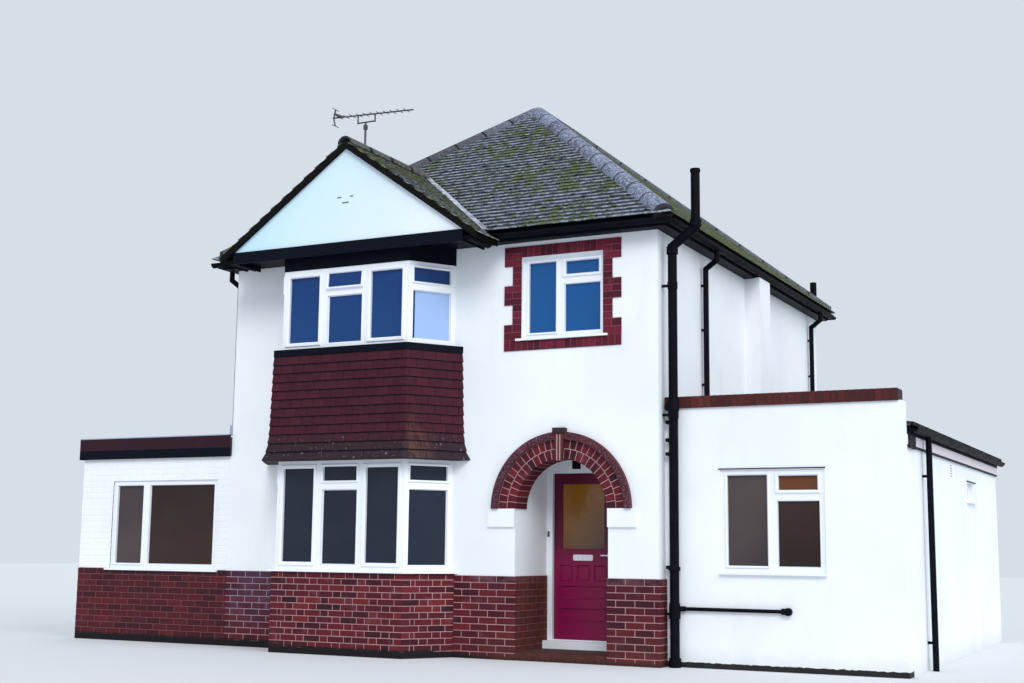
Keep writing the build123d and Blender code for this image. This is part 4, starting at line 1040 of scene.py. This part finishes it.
parts = []
for face in range(3):
    places = []
    for course in range(apron["courses"]):
        low = apron["foot"] + gauge * course
        first, last = apronPlan(low)[face:face + 2]
        along = (last - first).normalized()
        outward = along.cross(up)
        drop = (apronPlan(low + gauge)[face] - first).dot(outward)
        facing = (outward + up * (-drop / gauge)).normalized()
        shift = -0.25 if course % 2 else 0.25
        for number in range(ceil((last - first).length / tiles["width"]) + 1):
            spot = first + along * tiles["width"] * (number + shift) + up * low
            turn = Matrix.Rotation(chance.gauss(0, apron["twist"]), 4, "Z")
            places.append(frameOf(spot, along, facing) @ turn)
    field = spreadOut(tileUnit(gauge), places)
    for number, sign in ((face, 1), (face + 1, -1)):
        corner = Vector((*bayPlan[number], 0))
        mitre = pushedOut(bayPlan, 0.1)[number] - corner
        trim(field, corner, (0, 1, 0) if number in (0, 3) else mitre.cross(up) * sign)
    parts.append(field)
finishPiece("apron_tiles", gather(parts), "hung_tile", hungTileFinish())
print("apron tiles")


# Window sashes and glazing beads, laid round every sheet of glass

sashes = {
    "topLight": 0.3,     # a light lower than this is a top light
    "widest": 0.9,       # a light wider than this has no sash
    "below": 0.9,        # how far under its top light a light may lie
    "clear": 0.001,
    "aligned": 0.03,
    "lap": 0.016,
    "frameFace": 0.031,
    "proud": 0.016,
    "inset": (0.028, 0.008),    # over the glass, in the bay and in the other windows
    "top": (0.01, 0.018),
    "bead": (0.01, 0.006),
    "beadDepth": 0.017,
    "beadSlope": 0.7,
    "pane": (0.012, 0.02),
    "slope": 0.012,
    "eased": 0.004,
    "ajar": 5,
    "upstairs": 4,
}


def sheetsOf(node):
    # the glass sheets of a node: each one's place, its z outwards, with its width and height
    bm = bmesh.new()
    bm.from_mesh(nodes[node].data)
    bmesh.ops.remove_doubles(bm, verts=bm.verts[:], dist=near / 5)
    waiting = set(bm.verts)
    sheets = []
    while waiting:
        group = [waiting.pop()]
        for vert in group:
            for edge in vert.link_edges:
                other = edge.other_vert(vert)
                if other in waiting:
                    waiting.remove(other)
                    group.append(other)
        middle = sum((v.co for v in group), Vector()) / len(group)
        widest = max((face for v in group for face in v.link_faces), key=lambda face: face.calc_area())
        outward = widest.normal.copy()
        if outward.dot(Vector((middle.x, middle.y, 0))) < 0:
            outward.negate()
        along = up.cross(outward)
        across = [v.co.dot(along) for v in group]
        heights = [v.co.z for v in group]
        spot = middle + outward * (max(v.co.dot(outward) for v in group) - middle.dot(outward))
        sheets.append((frameOf(spot, along, outward), max(across) - min(across), max(heights) - min(heights)))
    bm.free()
    return sheets


def ring(width, height, bar, low, high, inner):
    # a flat frame of four bars with its inner front edge sloped to the glass
    bm = bmesh.new()
    bmesh.ops.create_grid(bm, x_segments=1, y_segments=1, size=0.5,
                          matrix=Matrix.Diagonal((width, height, 1, 1)))
    middle = bm.faces[:]
    bmesh.ops.inset_individual(bm, faces=middle, thickness=bar, use_even_offset=True)
    bmesh.ops.delete(bm, geom=middle, context="FACES")
    bmesh.ops.translate(bm, verts=bm.verts[:], vec=(0, 0, low))
    extruded(bm, (0, 0, high - low))

    def atRim(spot):
        outside = abs(spot.x) > width / 2 - near or abs(spot.y) > height / 2 - near
        return outside and spot.z > high - near / 10

    rim = edgesWhere(bm, atRim)
    bevelled(bm, [e for e in edgesWhere(bm, lambda spot: spot.z > high - near / 10)
                  if e not in rim and any(abs(side.normal.z) < 0.5 for side in e.link_faces)], inner)
    bevelled(bm, edgesWhere(bm, atRim), sashes["eased"])
    return bm


parts = []
ajarGlass = []
lap, sashFace = sashes["lap"], sashes["frameFace"]
bayMiddle = (bayPlan[1][0] + bayPlan[2][0]) / 2
for node in ("bay_glass", "window_glass"):
    slim = node == "window_glass"
    sheets = sheetsOf(node)
    for place, width, height in sheets:
        spot = place.translation
        crowned = any(tall < sashes["topLight"] and 0 < other.translation.z - spot.z < sashes["below"]
                      and (other.translation.xy - spot.xy).length < sashes["aligned"]
                      for other, wide, tall in sheets)
        isTop = height < sashes["topLight"]
        if crowned or width > sashes["widest"]:
            bead = sashes["bead"][slim]
            frameRing = ring(width, height, bead, sashes["clear"], sashes["beadDepth"],
                             bead * sashes["beadSlope"])
        else:
            inset = sashes["top" if isTop else "inset"][slim]
            frameRing = ring(width + 2 * lap, height + 2 * lap, lap + inset, sashes["clear"],
                             sashFace + sashes["proud"], sashes["slope"])
            if isTop and abs(spot.x - bayMiddle) < sashes["aligned"] and spot.z > sashes["upstairs"]:
                # the bay's middle top light stands ajar, hung at its head
                head = Vector((0, height / 2 + lap, sashFace))
                swing = Matrix.Translation(head) @ Matrix.Rotation(radians(-sashes["ajar"]), 4, "X")
                place = place @ swing @ Matrix.Translation(-head)
                low, high = sashes["pane"]
                pane = slab((-width / 2, -height / 2, low), (width / 2, height / 2, high))
                pane.transform(place)
                ajarGlass.append(pane)
        frameRing.transform(place)
        parts.append(frameRing)
print("sashes", len(parts))
finishPiece("window_sashes", gather(parts), "white_plastic")
finishPiece("ajar_glass", gather(ajarGlass), "window_glass")


# Mouldings of the front door's five panels

doorPanels = {
    "width": 0.615,
    "rows": [(1, 0.208, 0.373), (1, 0.470, 0.635), (3, 0.685, 0.879)],    # how many, foot and head
    "gap": 0.048,
    "deep": 0.008,
    "moulding": 0.02,
    "proud": 0.005,
    "slope": 0.01,
}
leafLow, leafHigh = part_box("door_leaf")
parts = []
for count, low, high in doorPanels["rows"]:
    width = (doorPanels["width"] - (count - 1) * doorPanels["gap"]) / count
    for number in range(count):
        moulding = ring(width, high - low, doorPanels["moulding"], -doorPanels["deep"], doorPanels["proud"],
                        doorPanels["slope"])
        across = (number - (count - 1) / 2) * (width + doorPanels["gap"])
        spot = ((leafLow.x + leafHigh.x) / 2 + across, leafLow.y, leafLow.z + (low + high) / 2)
        moulding.transform(frameOf(spot, (1, 0, 0), (0, -1, 0)))
        parts.append(moulding)
finishPiece("door_mouldings", gather(parts), "maroon_door", body="front_door")


# Sockets and clips of the soil stack, with the elbow and collar of its waste pipe

stack = {
    "y": -3.32,
    "wall": -3.24,
    "eased": 0.005,
    "sockets": {    # the x of each pipe, with the foot, head and radius of its sockets
        3.088: [(0.0, 0.1, 0.068), (0.52, 0.66, 0.063), (1.04, 1.085, 0.066), (2.8, 2.95, 0.064),
                (4.59, 4.68, 0.066)],
        3.37: [(4.885, 4.97, 0.066), (5.52, 5.56, 0.059)],
    },
    "clips": [1.075, 2.325, 2.48, 2.68],
    "clipHalf": 0.02,
    "clipReach": (0.096, 0.012),
    "collars": [    # x, how far behind the stack, height, axis, radius, start, end and easing
        (3.038, 0, 2.85, "Y", 0.05, -0.03, 0.075, 0.005),
        (4.34, 0.05, 0.63, "Y", 0.042, -0.03, 0.03, 0.01),
        (4.34, 0.05, 0.63, "X", 0.034, -0.075, 0.03, 0.008),
        (3.178, 0.05, 0.63, "X", 0.028, -0.06, 0.02, 0.005),
    ],
}
turnTo = {"Y": Matrix.Rotation(-pi / 2, 4, "X"), "X": Matrix.Rotation(pi / 2, 4, "Y")}


def drum(place, radius, low, high, eased):
    # a short round collar along its place's z, its rims eased
    bm = rod(Matrix.Translation((0, 0, (low + high) / 2)), radius, high - low, roundSides)
    bevelled(bm, [e for e in bm.edges if abs(e.verts[0].co.z - e.verts[1].co.z) < near / 10], eased, 2)
    bm.transform(place)
    return bm


parts = []
for x, sockets in stack["sockets"].items():
    for low, high, radius in sockets:
        parts.append(drum(Matrix.Translation((x, stack["y"], 0)), radius, low, high, stack["eased"]))
pipe = min(stack["sockets"])
beside, before = stack["clipReach"]
for height in stack["clips"]:
    parts.append(block((pipe - beside, stack["y"] - before, height - stack["clipHalf"]),
                       (pipe, stack["wall"], height + stack["clipHalf"]), stack["eased"]))
for x, behind, height, axis, radius, low, high, eased in stack["collars"]:
    place = Matrix.Translation((x, stack["y"] + behind, height)) @ turnTo[axis]
    parts.append(drum(place, radius, low, high, eased))
finishPiece("stack_fittings", gather(parts), "black_plastic")


# Small vents: three in the gable, and five slots high on the right wing's side

vents = {"gable": [(-0.943, 5.501, 0.028), (-0.763, 5.503, 0.023), (-0.85, 5.43, 0.048)], "proud": 0.006,
         "tall": 0.007, "sunk": 0.01, "side": (5.563, -0.303), "sideTop": 2.325, "sidePitch": 0.032,
         "wide": 0.045, "eased": 0.001}
parts = []
for x, height, reach in vents["gable"]:
    parts.append(block((x - reach, wallLow.y - vents["proud"], height - vents["tall"]),
                       (x + reach, wallLow.y + vents["sunk"], height + vents["tall"]), 2 * vents["eased"]))
x, y = vents["side"]
for number in range(5):
    height = vents["sideTop"] - vents["sidePitch"] * number
    parts.append(block((x - vents["sunk"], y - vents["wide"], height - vents["tall"]),
                       (x + vents["proud"], y + vents["wide"], height), vents["eased"]))
finishPiece("wall_vents", gather(parts), "black_plastic", ventFinish)


# Drips over the right wing's windows, dark as a painted shadow line, its end board, and the metal edge and
# upstand of the left wing's roof

trims = {
    "drips": [((3.576, -3.252, 2.145), (4.762, -3.236, 2.157)), ((5.55, 0.83, 2.18), (5.575, 1.53, 2.196))],
    "endBoard": ((-0.005, -2.98, 2.36), (0.012, -2.62, 2.5)),    # x from the frieze's outer face
    "edge": ((0, -0.003, -0.012), (0, 0.03, 0.003)),             # from the fascia's upper front edge
    "upstand": ((-3.005, -3.462, -0.01), (-2.955, -3.4, 0.12)),  # height from the fascia's top
    "eased": {"drip": 0.003, "board": 0.003, "edge": 0.002, "upstand": 0.008},
}
eased = trims["eased"]
# each drip is a dark bead: partly the drip itself, partly a painted shadow line under it
finishPiece("window_drip_shadows", gather([block(*corners, eased["drip"]) for corners in trims["drips"]]),
            "brown_board")
friezeOut = Vector((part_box("wing_frieze")[1].x, 0, 0))
endBoard = block(*[Vector(corner) + friezeOut for corner in trims["endBoard"]], eased["board"])
finishPiece("wing_end_board", endBoard, "black_board")
fasciaLow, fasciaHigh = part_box("left_fascia")
top = Vector((0, 0, fasciaHigh.z))
ends = [Vector((x, fasciaLow.y, fasciaHigh.z)) for x in (fasciaLow.x, fasciaHigh.x)]
edge = block(*[Vector(corner) + end for corner, end in zip(trims["edge"], ends)], eased["edge"])
upstand = block(*[Vector(corner) + top for corner in trims["upstand"]], eased["upstand"])
finishPiece("left_roof_trim", gather([edge, upstand]), "aerial_metal", flatRoofLead)


# Bell push on the door frame

bell = {"x": 1.207, "height": 1.443, "halfWide": 0.013, "halfTall": 0.034, "proud": 0.009, "sunk": 0.004,
        "button": 0.008, "buttonDrop": 0.012, "buttonEased": 0.002, "eased": 0.003}
front = min(v.co.y for v in nodes["door_frame"].data.vertices if v.co.z > 1)
x, wide, height, tall = bell["x"], bell["halfWide"], bell["height"], bell["halfTall"]
plate = block((x - wide, front - bell["proud"], height - tall),
              (x + wide, front + bell["sunk"], height + tall), bell["eased"])
button = drum(Matrix.Translation((x, front, height - bell["buttonDrop"])) @ turnTo["Y"], bell["button"],
              -bell["proud"] - bell["sunk"], bell["buttonEased"], bell["buttonEased"])
finishPiece("bell_push", gather([plate, button]), "aerial_metal")
print("fittings")


# Studio

studio = {
    "floor": (214, 216, 218),
    "floorHalf": 60,
    "backdrop": (214, 222, 232),
    "air": (226, 236, 250),
    "ambient": 0.8,
    "lamps": {    # strength, colour, tilt, turn and softness
        "key_lamp": (1.5, (1, 0.985, 0.96), 52, 26, 25),
        "fill_lamp": (1.15, (0.92, 0.95, 1), 58, 75, 40),
    },
}
sheet = bmesh.new()
bmesh.ops.create_grid(sheet, x_segments=1, y_segments=1, size=studio["floorHalf"])
asObject("studio_floor", sheet, Finish("studio_floor").surface(shade(*studio["floor"]), 0.9))

# the camera, mirrors and clear glass see the backdrop, and everything else is lit by the air
world = bpy.data.worlds.new("studio")
bpy.context.scene.world = world
sky = Web(world)
byEye, byMirror, byGlass = [sky.add("LightPath", out="Is " + ray + " Ray")
                            for ray in ("Camera", "Glossy", "Transmission")]
seen = byEye.math("MAXIMUM", byEye.math("MAXIMUM", byEye, byMirror), byGlass)
air = sky.add("Background", None, {"Color": shade(*studio["air"]), "Strength": studio["ambient"]})
backdrop = sky.add("Background", None, {"Color": shade(*studio["backdrop"])})
sky.join(sky.tree.nodes["World Output"].inputs[0], sky.add("MixShader", None, {0: seen, 1: air, 2: backdrop}))

for name, (strength, colour, tilt, turn, softness) in studio["lamps"].items():
    light = bpy.data.lights.new(name, "SUN")
    light.energy = strength
    light.color = colour
    light.angle = radians(softness)
    holder = bpy.data.objects.new(name, light)
    holder.rotation_euler = (radians(tilt), 0, radians(turn))
    bpy.context.scene.collection.objects.link(holder)

eye = {"place": (8.481, -17.872, 1.266), "left": 27.04, "up": 8.50, "roll": 0.595, "lens": 48.65, "film": 36}
lens = bpy.data.cameras.new("camera")
lens.lens = eye["lens"]
lens.sensor_width = eye["film"]
camera = bpy.data.objects.new("camera", lens)
bpy.context.scene.collection.objects.link(camera)
camera.matrix_world = Matrix.Translation(eye["place"])
for angle, axis in ((eye["left"], "Z"), (90 + eye["up"], "X"), (eye["roll"], "Z")):
    camera.matrix_world @= Matrix.Rotation(radians(angle), 4, axis)
bpy.context.scene.camera = camera
bpy.context.scene.view_settings.view_transform = "Standard"
